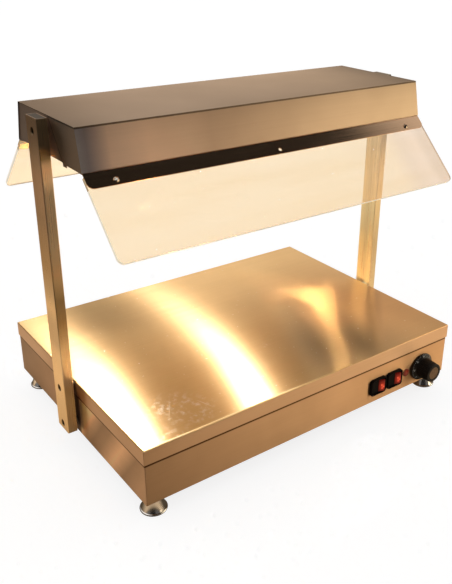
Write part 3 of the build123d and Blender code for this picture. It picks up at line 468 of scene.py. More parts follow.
# Painted shade at the left end, and painted shadows round the switches and the knob.
painted_shade = patch(here, (left, 0.24, 0.07), (0.02, 0.24, 0.3))
for node, reach in (("switch_frame_left", switch_shadow_reach), ("switch_frame_right", switch_shadow_reach),
                    ("knob", knob_shadow_reach)):
    painted_shade = painted_shade + patch(here, on_wall(node), reach)
painted_tone = (1.0 - painted_shade * 0.42) * (1.0 - behind_post(tree) * 0.8)
# Painted reflections: slanting bands on the left end.
painted_reflection_bands = ramp(faded(y + z * band_lean, band_start, band_stop), left_end_reflection_tones)
banded = (x < left + 0.001) * (y < -0.018)
# Darker and browner towards the right of the front wall.
darker_right = patch(here, (0.24, front, 0.06), (0.3, 0.02, 0.2))
colour = colour * (mixed(banded, white, painted_reflection_bands) * painted_tone) * mixed(darker_right, white, darkening_tint)
# Grease and painted shadow under the rim.
coat(skin, {"Base Color": mixed(faded(z, seam_z - 0.0045, seam_z - 0.0032), colour, grease_and_shadow_colour)})
print("seam at", round(seam_z, 4), "m")

# %% [markdown]
# ## Moulded, cast and plated parts
# The other parts are plain materials whose surface still has life: moulded plastic has a fine pebble,
# zinc plating is cloudy, fired ceramic is speckled. One function covers them: two colours mixed by noise,
# a roughness that follows it, and a bump of the right depth.

# %% Small-part finishes
def speckled(name, solids, deep, pale, rough, waves, depth=0.0001, metal=0.0, bump=0.25, gloss=0.5):
    """Two colours mixed by noise of so many waves in a metre, with roughness and bump from it."""
    tree, skin = start_finish(name, solids)
    here = place(tree)
    speck = noise(here, waves, 4, 0.6)
    cloud = noise(here, waves / 12)
    coat(skin, {"Base Color": ramp(speck * 0.6 + cloud * 0.4, [(0.35, deep), (0.65, pale)]),
                "Roughness": cloud * 0.2 + (rough - 0.1), "Normal": bumped(speck, bump, depth),
                "Metallic": metal, "Specular IOR Level": gloss})
    return tree, skin


# %% Plastics and heat-proof parts
speckled("switch_plastic", ["switch_frame_left", "switch_frame_right", "rocker_left", "rocker_right"],
         (0.003, 0.0018, 0.0014), (0.007, 0.0045, 0.003), 0.4, 900, gloss=0.05)
speckled("black_plastic", ["knob"], (0.004, 0.0025, 0.002), (0.01, 0.0065, 0.0045), 0.36, 900, gloss=0.14)
speckled("black_nylon", ["gland_body", "gland_dome_nut", "gland_locknut", "thermostat_body"],
         (0.012, 0.012, 0.013), (0.024, 0.024, 0.026), 0.5, 700, depth=0.0002)
speckled("ivory_plastic", ["terminal_block"], (0.66, 0.6, 0.46), (0.74, 0.69, 0.56), 0.4, 500)
speckled("red_bezel", ["indicator_body"], (0.2, 0.045, 0.018), (0.3, 0.075, 0.03), 0.4, 800, gloss=0.3)
speckled("ceramic", ["lamp_holders"], (0.68, 0.64, 0.56), (0.8, 0.77, 0.7), 0.55, 600, depth=0.0002)
speckled("fibre_board", ["insulation_board"], (0.5, 0.44, 0.34), (0.64, 0.58, 0.47), 0.85, 300,
         depth=0.0006, bump=0.6)
speckled("element_sheath", ["heating_element"], (0.07, 0.06, 0.05), (0.16, 0.12, 0.09), 0.5, 400,
         depth=0.0002, metal=0.8)

# %% Metals
zinc_plated = ["cover_screws", "foot_nuts", "clamp_studs", "clamp_nuts", "element_clamps", "post_nuts",
               "post_spacers", "guard_screws", "guard_nuts", "bracket_rivets", "thermostat_screws",
               "thermostat_shaft", "lamp_brackets"]
speckled("zinc_steel", zinc_plated, (0.42, 0.4, 0.37), (0.6, 0.58, 0.54), 0.32, 500, metal=1.0)
speckled("black_oxide", ["post_screws"], (0.01, 0.008, 0.007), (0.022, 0.018, 0.015), 0.45, 500, metal=0.6)
speckled("brass", ["switch_terminals", "terminal_screws"], (0.55, 0.36, 0.12), (0.7, 0.48, 0.18), 0.3, 400,
         metal=1.0)
speckled("bright_aluminium", ["lamp_reflector"], (0.8, 0.77, 0.72), (0.88, 0.86, 0.82), 0.16, 120,
         depth=0.0003, metal=1.0)
speckled("chrome", ["foot_front_left", "foot_front_right", "foot_rear_left", "foot_rear_right"],
         (0.68, 0.63, 0.58), (0.78, 0.73, 0.68), 0.14, 150, metal=1.0, bump=0.03)
speckled("cap_bronze", ["knob_cap"], (0.1, 0.065, 0.04), (0.2, 0.13, 0.08), 0.34, 500,
         depth=0.00005, metal=0.9)

# %% [markdown]
# ## Glass guards
# Two panes of toughened glass keep breath and hands off the food. Most light goes through with a warm
# tint, and wipe marks and cooking film scatter the small share that isn't transmitted. A faint warm
# emission is a painted glow for the lamp light in the film, and painted shade makes the panes greyest at
# the right end, past the reach of the lamps.

# %% Guard glass
lamp_reach_painted_shade = [(0.1, 1.0), (0.2, (0.96, 0.95, 0.96)), (0.235, (0.88, 0.86, 0.93)),
              (0.265, (0.9, 0.88, 0.97)), (0.285, (0.8, 0.77, 0.84))]
tree, skin = start_finish("guard_glass", ["guard_glass_front", "guard_glass_rear"])
here = place(tree)
wipes = noise(here * (4, 30, 30), 1, 4, 0.6)
cream = between(wipes, (0.97, 0.78, 0.53), (1.0, 0.84, 0.62))
# Painted shade along x, and a painted glow in the emission.
coat(skin, {"Base Color": cream * ramp(parts(here)[0], lamp_reach_painted_shade), "Roughness": wipes * 0.05, "IOR": 1.5,
            "Transmission Weight": 0.88, "Emission Color": (1.0, 0.88, 0.68), "Emission Strength": 0.06})

# %% [markdown]
# ## Lit red lenses
# The right half of each rocker is a clear red lens with a neon lamp behind it: one wide patch of glow
# stands for the lamp, and three small spots are painted highlights. The pilot lamp beside the knob is the
# same plastic, but hardly lit.

# %% Red lenses
lens_reach = 0.008
# Painted highlights: three small spots on each lens.
painted_highlight_spots = ((-0.25, 0.3), (0.3, -0.2), (-0.1, -0.55))      # across and up, in shares of the reach
glow_colours = [(0.0, (0.03, 0.001, 0.0005)), (0.4, (0.26, 0.014, 0.005)), (0.75, (0.85, 0.09, 0.035)),
                (1.0, (1.0, 0.26, 0.13))]


def red_lens(name, node, glow, deep, pale):
    """Clear red plastic on a lens: a glow that falls off from its lamp, and painted highlight spots."""
    tree, skin = start_finish(name, [node])
    here = place(tree)
    centre = middle_of(node)
    lit = patch(here, centre, (lens_reach, 1, 1.5 * lens_reach)) * 0.62
    for across, up in painted_highlight_spots:
        highlight_spot = centre + lens_reach * np.array([across, 0, up])
        lit = lit + patch(here, highlight_spot, (0.25 * lens_reach, 1, 0.34 * lens_reach)) * 0.38
    coat(skin, {"Base Color": between(noise(here, 700, 3), deep, pale), "Roughness": 0.2,
                "Specular IOR Level": 0.2, "Emission Color": ramp(lit, glow_colours),
                "Emission Strength": glow})


for side in ("left", "right"):
    red_lens("red_lens_" + side, "rocker_lens_" + side, 0.95, (0.1, 0.005, 0.002), (0.17, 0.011, 0.005))
red_lens("red_lens_pilot", "indicator_lens", 0.1, (0.22, 0.024, 0.01), (0.31, 0.045, 0.02))

# %% [markdown]
# ## Surfaces from numbers
# The fine pieces are turned, swept or fluted. Blender's primitives would give plain cylinders, so each is
# worked out with numpy as a stack of rings in millimetres, joined by quads and closed by a fan at both
# ends. A piece rides on one body of the model, so that it moves with the joint, and may stand for a
# plainer solid. Smooth shading would smear real edges, so these are marked sharp.

# %% Ring surfaces
mm = 0.001


def grid_quads(rows, columns):
    """Quads between neighbouring points of a grid stored row by row; the last column meets the first."""
    row, column = np.mgrid[0:rows - 1, 0:columns]
    ahead = (column + 1) % columns
    corners = [row * columns + column, row * columns + ahead,
               (row + 1) * columns + ahead, (row + 1) * columns + column]
    return np.stack(corners, axis=-1).reshape(-1, 4)


def closed_rings(rings):
    """Rings (rows, columns, 3) joined by quads; the first and last are closed by a fan to their middle."""
    rows, columns, _ = rings.shape
    points = np.vstack([rings.reshape(-1, 3), rings[[0, -1]].mean(axis=1)])
    here = np.arange(columns)
    ahead = (here + 1) % columns
    top = (rows - 1) * columns
    first = np.c_[np.full(columns, rows * columns), ahead, here]
    last = np.c_[np.full(columns, rows * columns + 1), top + here, top + ahead]
    return points, grid_quads(rows, columns).tolist() + first.tolist() + last.tolist()


def at_height(flat, height):
    """Outlines (rows, columns, 2) as rings: each row, or each column, gets its own height."""
    return np.concatenate([flat, np.broadcast_to(height, flat.shape[:2])[..., None]], axis=2)


def arc(start, stop, steps, radius):
    """Points (r cos t, r sin t) between two angles in degrees; the radius may differ in x and y."""
    t = np.radians(np.linspace(start, stop, steps))
    return np.c_[np.cos(t), np.sin(t)] * radius


def turned(profile, steps=96):
    """A lathe: each (radius, height) of the profile becomes the ring (r cos t, r sin t, h)."""
    t = np.linspace(0, 2 * np.pi, steps, endpoint=False)
    radius, height = np.asarray(profile, float).T[:, :, None]
    return np.stack([radius * np.cos(t), radius * np.sin(t), height + 0 * t], axis=-1)


def stood(shape, origin, axes=np.eye(3)):
    """A shape in mm, set down in metres: the origin plus x, y and z times the three axes."""
    points, faces = shape
    return np.asarray(origin) + points * mm @ np.array(axes, float), faces


def joined(shapes):
    """Several (points, faces) as one, each set of faces counted on from the points before it."""
    starts = np.cumsum([0] + [len(points) for points, _ in shapes])
    faces = [[i + start for i in face] for start, (_, group) in zip(starts, shapes) for face in group]
    return np.vstack([points for points, _ in shapes]), faces


# %% Pieces
sharp_angle = np.radians(33)


def put(name, data):
    """A new object with that data, in the scene."""
    thing = bpy.data.objects.new(name, data)
    scene.collection.objects.link(thing)
    return thing


def make_piece(name, shape, body, finish, stands_for=(), recess=None):
    """A mesh from (points, faces) that rides on a body; recess is an attribute with a value per point."""
    points, faces = shape
    mesh = bpy.data.meshes.new(name)
    mesh.from_pydata(points.tolist(), [], faces)
    mesh.shade_smooth()
    mesh.set_sharp_from_angle(angle=sharp_angle)
    mesh.materials.append(finishes[finish])
    if recess is not None:
        mesh.attributes.new("recess", "FLOAT", "POINT").data.foreach_set("value", recess)
    piece = put(name, mesh)
    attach(piece, body)
    if stands_for:
        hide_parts(*stands_for)
    print(name, len(points), "points,", len(faces), "faces")


# %% [markdown]
# ## The thermostat knob
# A bevelled skirt carries the scale, and a tapered grip has fine ribs for wet fingers. It is a lathe
# shape whose radius ripples with the angle along the grip only. The groove between two ribs is a squared
# cosine, which gives narrow ribs and wide soft grooves.

# %% Knob
wall_axes = ((1, 0, 0), (0, 0, 1), (0, -1, 0))
knob_centre = on_wall("knob")
knob_front = (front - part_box("knob")[0][1]) / mm
bevel_outer, bevel_inner = (24.3, 3.6), (17.9, 6.45)
grip_foot, grip_radius, grip_taper, brow = 6.6, 17.75, 1.15, 1.6
rib_count, rib_depth, rib_start, rib_stop, rib_fade, ribbed_radius = 36, 0.03, 8.0, 1.2, 2, 14
skirt = [(7, 2), (7, 4.9), (17.8, 4.9), (22.9, 2.7), (22.9, 2.1), (23.2, 2), (24.2, 2), (24.5, 2.3),
         (24.5, 3.3), bevel_outer, bevel_inner]
rise = np.linspace(grip_foot, knob_front - brow, 22)
grip = np.c_[grip_radius - grip_taper * (rise - grip_foot) / (rise[-1] - grip_foot), rise]
rounding = arc(15, 90, 6, brow) + (15.0, knob_front - brow)
cap_seat = [(11.4, knob_front), (11.05, knob_front - 0.3), (11.0, knob_front - 1.4)]
rings = turned(np.vstack([skirt, grip, rounding, cap_seat]), 360)
x, y, height = np.moveaxis(rings, -1, 0)
ribbed = np.clip((height - rib_start) / rib_fade, 0, 1)
ribbed *= np.clip((knob_front - rib_stop - height) / rib_fade, 0, 1) * (np.hypot(x, y) > ribbed_radius)
groove = (0.5 - 0.5 * np.cos(rib_count * np.arctan2(y, x))) ** 2
rings[..., :2] *= (1 - rib_depth * ribbed * groove)[..., None]
make_piece("ribbed_knob", stood(closed_rings(rings), knob_centre, wall_axes), "knob",
           "black_plastic", ["knob"])

# %% [markdown]
# ## The printed scale
# White numbers from 30 to 90 and their ticks are printed on the skirt's bevel, over 270 degrees of turn.
# Text is made a mesh first, then every point is wrapped onto the cone: its sideways place becomes an
# angle, its height a step along the bevel. All stand a little proud.

# %% Print on a cone
print_proud, print_radius = 0.05, 21.5


def read(items, name, wide):
    """One value of each vertex or face of a mesh, as an array so many numbers wide."""
    values = np.empty(len(items) * wide)
    items.foreach_get(name, values)
    return values.reshape(-1, wide)


def flat_text(words, size):
    """Text as a flat mesh: points (n, 2), centred, and its faces."""
    curve = bpy.data.curves.new("words", "FONT")
    curve.body = words
    curve.size = size
    curve.align_x = "CENTER"
    curve.align_y = "CENTER"
    maker = put("words", curve)
    mesh = bpy.data.meshes.new_from_object(maker.evaluated_get(bpy.context.evaluated_depsgraph_get()))
    bpy.data.objects.remove(maker)
    return read(mesh.vertices, "co", 3)[:, :2], [list(face.vertices) for face in mesh.polygons]


def on_bevel(flat, at_angle):
    """Wraps flat points on the skirt's bevel: x runs round the cone, y outwards from its inner edge."""
    wide, drop = bevel_outer[0] - bevel_inner[0], bevel_inner[1] - bevel_outer[1]
    run = np.hypot(wide, drop)
    share = flat[:, 1] / run
    radius = bevel_inner[0] + wide * share + print_proud * drop / run
    height = bevel_inner[1] - drop * share + print_proud * wide / run
    turn = at_angle - flat[:, 0] / print_radius
    return np.c_[radius * np.cos(turn), radius * np.sin(turn), height]


def tick(half_wide, inner, outer, at_angle):
    """One printed bar across the bevel."""
    bar = np.array([(-half_wide, inner), (half_wide, inner), (half_wide, outer), (-half_wide, outer)])
    return on_bevel(bar, at_angle), [[0, 1, 2, 3]]


# %% Scale print
first_number, last_number, number_step = 30, 90, 10
start_angle, turn_each, fine_each = 225, 4.5, 9      # degrees
text_size, text_lift = 3.6, (0, 2.9)
printed = []
for number in range(first_number, last_number + 1, number_step):
    at_angle = np.radians(start_angle - (number - first_number) * turn_each)
    flat, faces = flat_text(str(number), text_size)
    printed.append((on_bevel(flat + text_lift, at_angle), faces))
    for step in range(1, 5) if number < last_number else ():
        printed.append(tick(0.22, 5.2, 6.4, at_angle - np.radians(step * fine_each)))
    printed.append(tick(0.35, 4.9, 6.6, at_angle))
speckled("white_print", (), (0.5, 0.46, 0.4), (0.66, 0.62, 0.54), 0.5, 900, depth=0.00005)
make_piece("knob_scale", stood(joined(printed), knob_centre, wall_axes), "knob",
           "white_print")

# %% [markdown]
# ## Switch surrounds
# Each rocker sits in a soft moulded surround. A bevelled box would look too crisp, so a rounded profile
# is carried round a rounded rectangle: its share goes from the outer outline (0) to the window (1) while
# its height rises to the crown and falls again. The window leaves room for the lens to swing.

# %% Switch surrounds
def rounded_ring(half_wide, half_high, corner, steps=14):
    """A rounded rectangle in x, y: each quarter circle moved out to its own corner."""
    quarters = np.array([arc(start, start + 90, steps, corner) for start in (0, 90, 180, 270)])
    out = np.array([(1, 1), (-1, 1), (-1, -1), (1, -1)]) * (half_wide - corner, half_high - corner)
    return (quarters + out[:, None]).reshape(-1, 2)


def hoop(profile, outer, inner):
    """A closed (share, height) profile carried round an outline whose sizes go from outer to inner."""
    share, height = profile.T[:, :, None]
    sizes = outer + share * (np.array(inner) - outer)
    rings = at_height(np.array([rounded_ring(*size) for size in sizes]), height)
    rows, columns, _ = rings.shape
    return rings.reshape(-1, 3), (grid_quads(rows + 1, columns) % (rows * columns)).tolist()


lip_half, lip_foot, lip_crown, wall_gap = 0.42, 3.4, 2.1, 0.02
rim_past, rim_corner = 0.9, 5.6
window_aside, window_above, window_corner = 2.62, 1.9, 1.0
lip = arc(0, 180, 15, (-lip_half, lip_crown)) + (lip_half, lip_foot)
lip_profile = np.vstack([[(0.0, wall_gap)], lip, [(0.86, 2.9), (1.0, 2.6), (1.0, wall_gap)]])
for side in ("left", "right"):
    frame_node = "switch_frame_" + side
    low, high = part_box(frame_node)
    half_wide, _, half_high = np.array(high - low) / 2 / mm
    surround = hoop(lip_profile, outer=(half_wide + rim_past, half_high + rim_past, rim_corner),
                    inner=(half_wide - window_aside, half_high - window_above, window_corner))
    make_piece("switch_surround_" + side, stood(surround, on_wall(frame_node), wall_axes), "warmer",
               "switch_plastic")

# %% [markdown]
# ## Domed lenses
# A lit rocker's lens is a soft pillow with a rim: a stack of rounded outlines that shrink towards the
# middle while the height follows a quarter circle. It stands on the slanting face of the rocker, so its
# axes are read from that face.

# %% Domed lenses
def pillow(half_wide, half_high, corner, crown, rim, rows=16):
    """Outlines of size cos(c)^0.6 and height crown sin(c), over a rim that goes down behind them."""
    share, height = np.vstack([(1, -rim), arc(0, 88, rows, (1, crown))]).T[:, :, None]
    flat = rounded_ring(half_wide, half_high, corner) * share[:, :, None] ** 0.6
    return closed_rings(at_height(flat, height))


def slanting_face(node):
    """Middle and outward normal of a node's largest flat face that looks forward, by area."""
    faces = nodes[node].data.polygons
    normals = read(faces, "normal", 3)
    areas = read(faces, "area", 1)[:, 0]
    biggest = np.argmax(areas * (normals[:, 1] < -0.5))
    same = normals @ normals[biggest] > 0.9999
    return areas[same] / areas[same].sum() @ read(faces, "center", 3)[same], normals[biggest]


up = (0.0, 0.0, 1.0)
dome = pillow(half_wide=5.6, half_high=10.2, corner=3.0, crown=1.4, rim=0.6)
for side in ("left", "right"):
    middle, out = slanting_face("rocker_lens_" + side)
    make_piece("lens_dome_" + side, stood(dome, middle, (np.cross(up, out), up, out)), "rocker_" + side,
               "red_lens_" + side)

# %% [markdown]
# ## Chrome feet
# The screw-in feet are flared like a bell, with a rolled rim: because the flare is hollow, each side
# mirrors the room as one clear stripe, where a plain dome would blur it. It is a lathe shape again, with
# the stud that goes up into the casing.

# %% Chrome feet
neck_radius, flare_power, bead, bead_step = 11.5, 1.6, 1.9, 0.25
stud_radius, stud_edge = 4.0, 0.8


def bell_foot(radius, height, stud_top):
    """A lathe: a rolled rim, then radius = neck + flare (1 - t)^power at height t, then the stud."""
    rim = arc(-90, 72, 12, bead) + (radius - bead, bead)
    t = np.linspace(0, 1, 28)
    flare = neck_radius + (rim[-1, 0] - bead_step - neck_radius) * (1 - t) ** flare_power
    bell = np.c_[flare, 2 * bead + (height - 2 * bead) * t]
    stud = [(stud_radius, height), (stud_radius, stud_top - stud_edge), (stud_radius - stud_edge, stud_top)]
    return closed_rings(turned(np.vstack([rim, bell, stud]), 120))


for corner in ("front_left", "front_right", "rear_left", "rear_right"):
    foot = "foot_" + corner
    low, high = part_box(foot)
    wide, _, tall = np.array(high - low) / mm
    bell = bell_foot(wide / 2, (casing_low[2] - low[2]) / mm, tall)
    stand_at = (*middle_of(foot)[:2], low[2])
    make_piece("bell_foot_" + corner, stood(bell, stand_at), foot, "chrome", [foot])

# %% [markdown]
# ## Quartz heat lamps
# Under the hood hang two quartz tubes with a glowing coil inside. The tube is a lathe shape with its ends
# pinched flat, and stands for the plain rod of the CAD. The coil is a thin round wire carried along a
# helix. Both are hotter in some places than in others, so one noise drives colour and glow.

# %% Quartz shapes
def ahead_of(path):
    """The direction of a path at each of its points."""
    step = np.gradient(path, axis=0)
    return step / np.linalg.norm(step, axis=1)[:, None]


def helix_wire(length, radius, turns, thick):
    """A wire round a helix: the path is (x, r cos t, r sin t); each ring lies across its path."""
    t = np.linspace(0, 2 * np.pi * turns, 14 * turns)
    x = np.linspace(-length / 2, length / 2, len(t))
    path = np.c_[x, radius * np.cos(t), radius * np.sin(t)]
    out = np.c_[0 * t, np.cos(t), np.sin(t)]
    around = np.linspace(0, 2 * np.pi, 6, endpoint=False)[None, :, None]
    ring = np.cos(around) * out[:, None] + np.sin(around) * np.cross(ahead_of(path), out)[:, None]
    return closed_rings(path[:, None] + thick * ring)


def pinched_tube(length, radius, rows=80):
    """A lathe shape along x whose ends narrow in one direction only, as hot quartz is pinched."""
    x = np.linspace(-length / 2, length / 2, rows)
    rings = turned(np.c_[np.full(rows, radius), x], 40)
    pinch = np.clip((np.abs(x) - 0.38 * length) / (0.07 * length), 0, 1)
    pinch = pinch * pinch * (3 - 2 * pinch)
    rings[..., 0] *= (1 - 0.68 * pinch)[:, None]
    return closed_rings(rings[..., [2, 1, 0]][:, ::-1])


# %% Quartz lamps
coil_share, coil_radius, coil_turns, wire_radius = 0.74, 2.2, 44, 0.42


def glowing(name, waves, colours, glows, settings, detail=2.0, rough=0.5):
    """A finish whose colour and glow both go from deep to pale by one noise."""
    tree, skin = start_finish(name)
    heat = noise(place(tree) * waves, 1, detail, rough)
    coat(skin, {"Base Color": between(heat, *colours), "Emission Color": between(heat, *glows), **settings})


glowing("quartz", (60, 200, 200), [(1.0, 0.9, 0.76), (1.0, 0.96, 0.88)],
        [(1.0, 0.6, 0.28), (1.0, 0.74, 0.44)],
        {"Emission Strength": 0.35, "Transmission Weight": 0.9, "Roughness": 0.04}, detail=3)
glowing("glowing_wire", (90, 30, 30), [(0.3, 0.24, 0.18), (0.42, 0.34, 0.26)],
        [(1.0, 0.5, 0.16), (1.0, 0.72, 0.36)], {"Emission Strength": 5.0, "Metallic": 0.8})
for side in ("left", "right"):
    rod = "quartz_lamp_" + side
    low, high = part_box(rod)
    long, thick, _ = np.array(high - low) / mm
    tube = pinched_tube(long, thick / 2)
    make_piece("quartz_tube_" + side, stood(tube, middle_of(rod)), "warmer", "quartz", [rod])
    coil = helix_wire(coil_share * long, coil_radius, coil_turns, wire_radius)
    make_piece("glow_coil_" + side, stood(coil, middle_of(rod)), "warmer", "glowing_wire")

# %% [markdown]
# ## Guard screws
# The guards hang out at 45 degrees, so their pieces are drawn in the guard's own frame: across it, down
# it and off its face. Two pan-head screws hold each glass, with a cross recess in each head. The head is
# a dome on a polar grid with the recess taken off its height. How deep each point lies is kept as an
# attribute, because the left pair's recess is painted with a bright glint like a small star and the right
# pair's is painted with shade.

# %% Guard frame
slope = np.sqrt(0.5)


def along_guard(node, out):
    """Lowest and highest (x, down the slope, off the slope), in mm, of a node's points on one side."""
    points = read(nodes[node].data.vertices, "co", 3)
    x, y, z = points[points[:, 1] * out > 0].T / mm
    laid = np.c_[x, (out * y - z) * slope, (out * y + z) * slope]
    return laid.min(axis=0), laid.max(axis=0)


def guard_axes(out):
    """Axes of the guard on one side: across it, down it, and off its face."""
    down = np.array([0, out * slope, -slope])
    normal = np.array([0, out * slope, slope])
    return np.cross(down, normal), down, normal


# %% Screw shape
head_radius, head_height, head_fall = 4, 2.4, 1.6
slot_half, slot_wall, slot_reach, slot_end, slot_depth = 0.75, 0.25, 3.1, 1.6, 1.7


def pan_head_screw():
    """Shank and domed head: head height falls as the square of the radius, less the cross recess."""
    shank = [(1.6, -10.9), (2.0, -10.5), (2.0, 0.0), (3.8, 0.0), (4.0, 0.15), (4.0, 0.7)]
    radius = np.linspace(3.98, 0.05, 44)
    dome = np.c_[radius, head_height - head_fall * (radius / head_radius) ** 2]
    rings = turned(np.vstack([shank, dome]), 96)
    x, y = np.abs(rings[..., 0]), np.abs(rings[..., 1])
    sunk = np.clip((slot_half - np.minimum(x, y)) / slot_wall, 0, 1)
    sunk *= np.clip((slot_reach - np.maximum(x, y)) / slot_end, 0, 1)
    sunk[:len(shank)] = 0
    rings[..., 2] -= slot_depth * sunk
    return closed_rings(rings), np.concatenate([np.minimum(sunk.ravel() * 2.5, 1), [0, 1]])


# %% Guard screws
left_turn, right_turn = np.radians([20, 48])
painted_glint_colour, painted_recess_shade, screw_metal = (0.95, 0.92, 0.86), (0.04, 0.025, 0.015), 0.95
screw, depth = pan_head_screw()
screws = []
for out, bracket in ((-1, "guard_bracket_front"), (1, "guard_bracket_rear")):
    low, high = along_guard("guard_screws", out)
    strip_top = along_guard(bracket, out)[1][2]
    across, down, normal = guard_axes(out)
    for x, turn in ((low[0] + head_radius, left_turn), (high[0] - head_radius, right_turn)):
        seat = np.array([x, 0, 0]) + (low[1] + high[1]) / 2 * down + strip_top * normal
        right = np.cos(turn) * across + np.sin(turn) * down
        screws.append(stood(screw, seat * mm, (right, np.cross(normal, right), normal)))
tree, skin = speckled("screw_steel", (), (0.34, 0.24, 0.16), (0.44, 0.32, 0.22), 0.2, 500, depth=0.00005,
                      metal=screw_metal)
deep = add(tree, "Attribute", out="Fac", attribute_name="recess")
# Painted glint in the left screws' recess, painted shade in the right ones'.
cross = mixed(parts(place(tree))[0] > 0.0, painted_glint_colour, painted_recess_shade)
coat(skin, {"Base Color": mixed(deep, plugged(tree, skin, "Base Color"), cross),
            "Metallic": screw_metal - deep * screw_metal})
make_piece("cross_screws", joined(screws), "warmer", "screw_steel", ["guard_screws"],
           np.tile(depth, len(screws)))

# %% [markdown]
# ## Glowing glass edges
# The ground edges of the panes get a painted glow, brighter than their faces, for the light that glass
# carries to its rim. The edge is a thin band swept along the outline: down one end, round the corner,
# along the bottom and up again. Fine chips in it are noise.

# %% Pane edges
edge_corner, edge_start, edge_bevel = 9.0, 0.4, 0.15
edge_lift = np.array([0.03, 0.1, 0.1, 0.03])[None, :, None]


def pane_edge(node, out):
    """Ring of four corners carried along the outline: straight, quarter circle, straight, mirrored."""
    low, high = along_guard(node, out)
    strip_end = along_guard(node.replace("glass", "bracket"), out)[1][1]
    half, reach = high[0] - edge_corner, high[1] - edge_corner
    side = np.c_[np.full(24, high[0]), np.linspace(strip_end + edge_start, reach, 24)]
    end = np.vstack([side[:-1], arc(0, 90, 14, edge_corner) + (half, reach)])
    bottom = np.c_[np.linspace(half, -half, 60)[1:-1], np.full(58, high[1])]
    path = np.vstack([end, bottom, (end * (-1, 1))[::-1]])
    outward = ahead_of(path)[:, ::-1] * (1, -1)
    depth = np.array([high[2], high[2] - edge_bevel, low[2] + edge_bevel, low[2]])
    rings = at_height(path[:, None] + outward[:, None] * edge_lift, depth)
    return stood(closed_rings(rings), (0, 0, 0), guard_axes(out))


# Painted glow on the pane edges.
glowing("glass_edge", (260, 260, 260), [(0.92, 0.8, 0.62), (1.0, 0.93, 0.8)],
        [(1.0, 0.82, 0.56), (1.0, 0.92, 0.74)], {"Emission Strength": 0.35, "Roughness": 0.35},
        detail=4, rough=0.6)
for side, out in (("front", -1), ("rear", 1)):
    edge = pane_edge("guard_glass_" + side, out)
    make_piece("pane_edge_" + side, edge, "warmer", "glass_edge")

# %% [markdown]
# ## Two rooms in one
# A catalogue picture has a plain white surround, but steel in a white room looks flat: it needs something
# darker to mirror. Light Path tells the two apart: a ray straight from the camera, also through glass,
# sees white, and a ray that has bounced off polished steel sees a studio.

# %% What the camera sees
def straight_view(tree):
    """1 for a ray from the camera, also through glass, and 1 for a ray off something shiny; else 0."""
    rays = add(tree, "LightPath").socket.node.outputs
    names = ("Is Camera Ray", "Is Glossy Ray", "Is Transmission Ray", "Glossy Depth")
    from_camera, glossy, passing, bounces = (Wire(tree, rays[name]) for name in names)
    through = passing * (1.0 - formula("MINIMUM", bounces, 1.0))
    return higher(from_camera, through), glossy * (1.0 - through)


# %% [markdown]
# ## Floor
# A pale matt floor, lifted nearly to white where it is seen straight, keeps the object's soft shadow.
# Mirrored in the steel it is a warm pool of light round the object, with another to the front right, that
# falls away into the room and is shaded close to the casing.

# %% Floor
floor_reach, floor_lift, floor_grey, floor_glow = 30.0, 0.82, (0.25, 0.25, 0.25), (1, 0.76, 0.5)
pool_middle, side_middle, to_room = (0.15, 0.3, 0.0), (1.1, -0.7, 0.0), (0.64, 0.77, 0.0)
corners = floor_reach * np.array([[-1, -1, 0], [1, -1, 0], [1, 1, 0], [-1, 1, 0]])
floor_mesh = bpy.data.meshes.new("floor")
floor_mesh.from_pydata(corners.tolist(), [], [(0, 1, 2, 3)])
floor = put("floor", floor_mesh)
tree, skin = start_finish("floor_paint")
floor_mesh.materials.append(finishes["floor_paint"])
seen, mirrored = straight_view(tree)
matt = add(tree, "BsdfDiffuse", [("Color", floor_grey)])
lift = add(tree, "Emission", [("Color", white), ("Strength", seen * floor_lift)])
pale_floor = add(tree, "AddShader", [(0, matt), (1, lift)])
here = place(tree)
pool = faded(size_of(here - pool_middle), 0.5, 2.0, 1.0, 0.08)
pool = pool * faded(along(here, to_room), -0.6, -0.38, 0.015, 1.0)
pool = higher(pool, faded(size_of(here - side_middle), 0.3, 0.9, 1.3, 0.0))
past_casing = higher(abs(here) - (casing_high[0], casing_high[1], 0.0), (0, 0, 0))
shaded = faded(size_of(past_casing), 0.0, 0.08, 0.1, 1.0)
warm_floor = add(tree, "Emission", [("Color", floor_glow), ("Strength", pool * shaded)])
both = add(tree, "MixShader", [(0, mirrored), (1, pale_floor), (2, warm_floor)])
plug(tree.nodes["Material Output"].inputs["Surface"], both)
print("floor", 2 * floor_reach, "m wide")

# %% [markdown]
# ## The studio round it
# The world is what the steel mirrors: pale walls that brighten upwards, darker to the left and behind the
# camera, a dark ceiling, and one wide warm window to the front right. Matt parts get a plain soft white.

# %% World
wall_tones = [(0.0, 0.12), (0.3, 0.22), (0.55, 0.38), (0.68, 1.0), (1.0, 1.0)]
room_tones = [(0.3, 0.55), (0.6, 0.4), (0.66, 0.34), (0.73, 0.74), (0.8, 0.72), (0.89, 0.36)]
ceiling_tones = [(0.765, 0.4), (0.785, 0.54), (0.812, 0.2), (0.84, 0.006)]
overhead, camera_side, window_side = (0.2, -0.5, 0.84), (-0.56, -0.74, 0.37), (0.82, -0.57, 0.0)
window_colour, wall_gain, ceiling_gain = (1.0, 0.9, 0.66), 2.6, 2.5
world = bpy.data.worlds.new("studio")
scene.world = world
world.use_nodes = True
tree = world.node_tree
tree.nodes.clear()
seen, mirrored = straight_view(tree)
toward = add(tree, "TexCoord", out="Generated")
right, ahead, rise = parts(toward)
ceiling = ramp(along(toward, overhead), ceiling_tones) * ceiling_gain
shade = faded(ahead, -0.9, 0.2, 0.75, 1.0) * faded(along(toward, camera_side), 0.8, 0.93, 1.0, 0.08)
wall_light = ramp(faded(right, -1.0, 1.0), room_tones) * shade * ceiling * wall_gain
window_light = faded(along(toward, window_side), 0.78, 1.0, 0.0, 4.0, soft=True) * ceiling
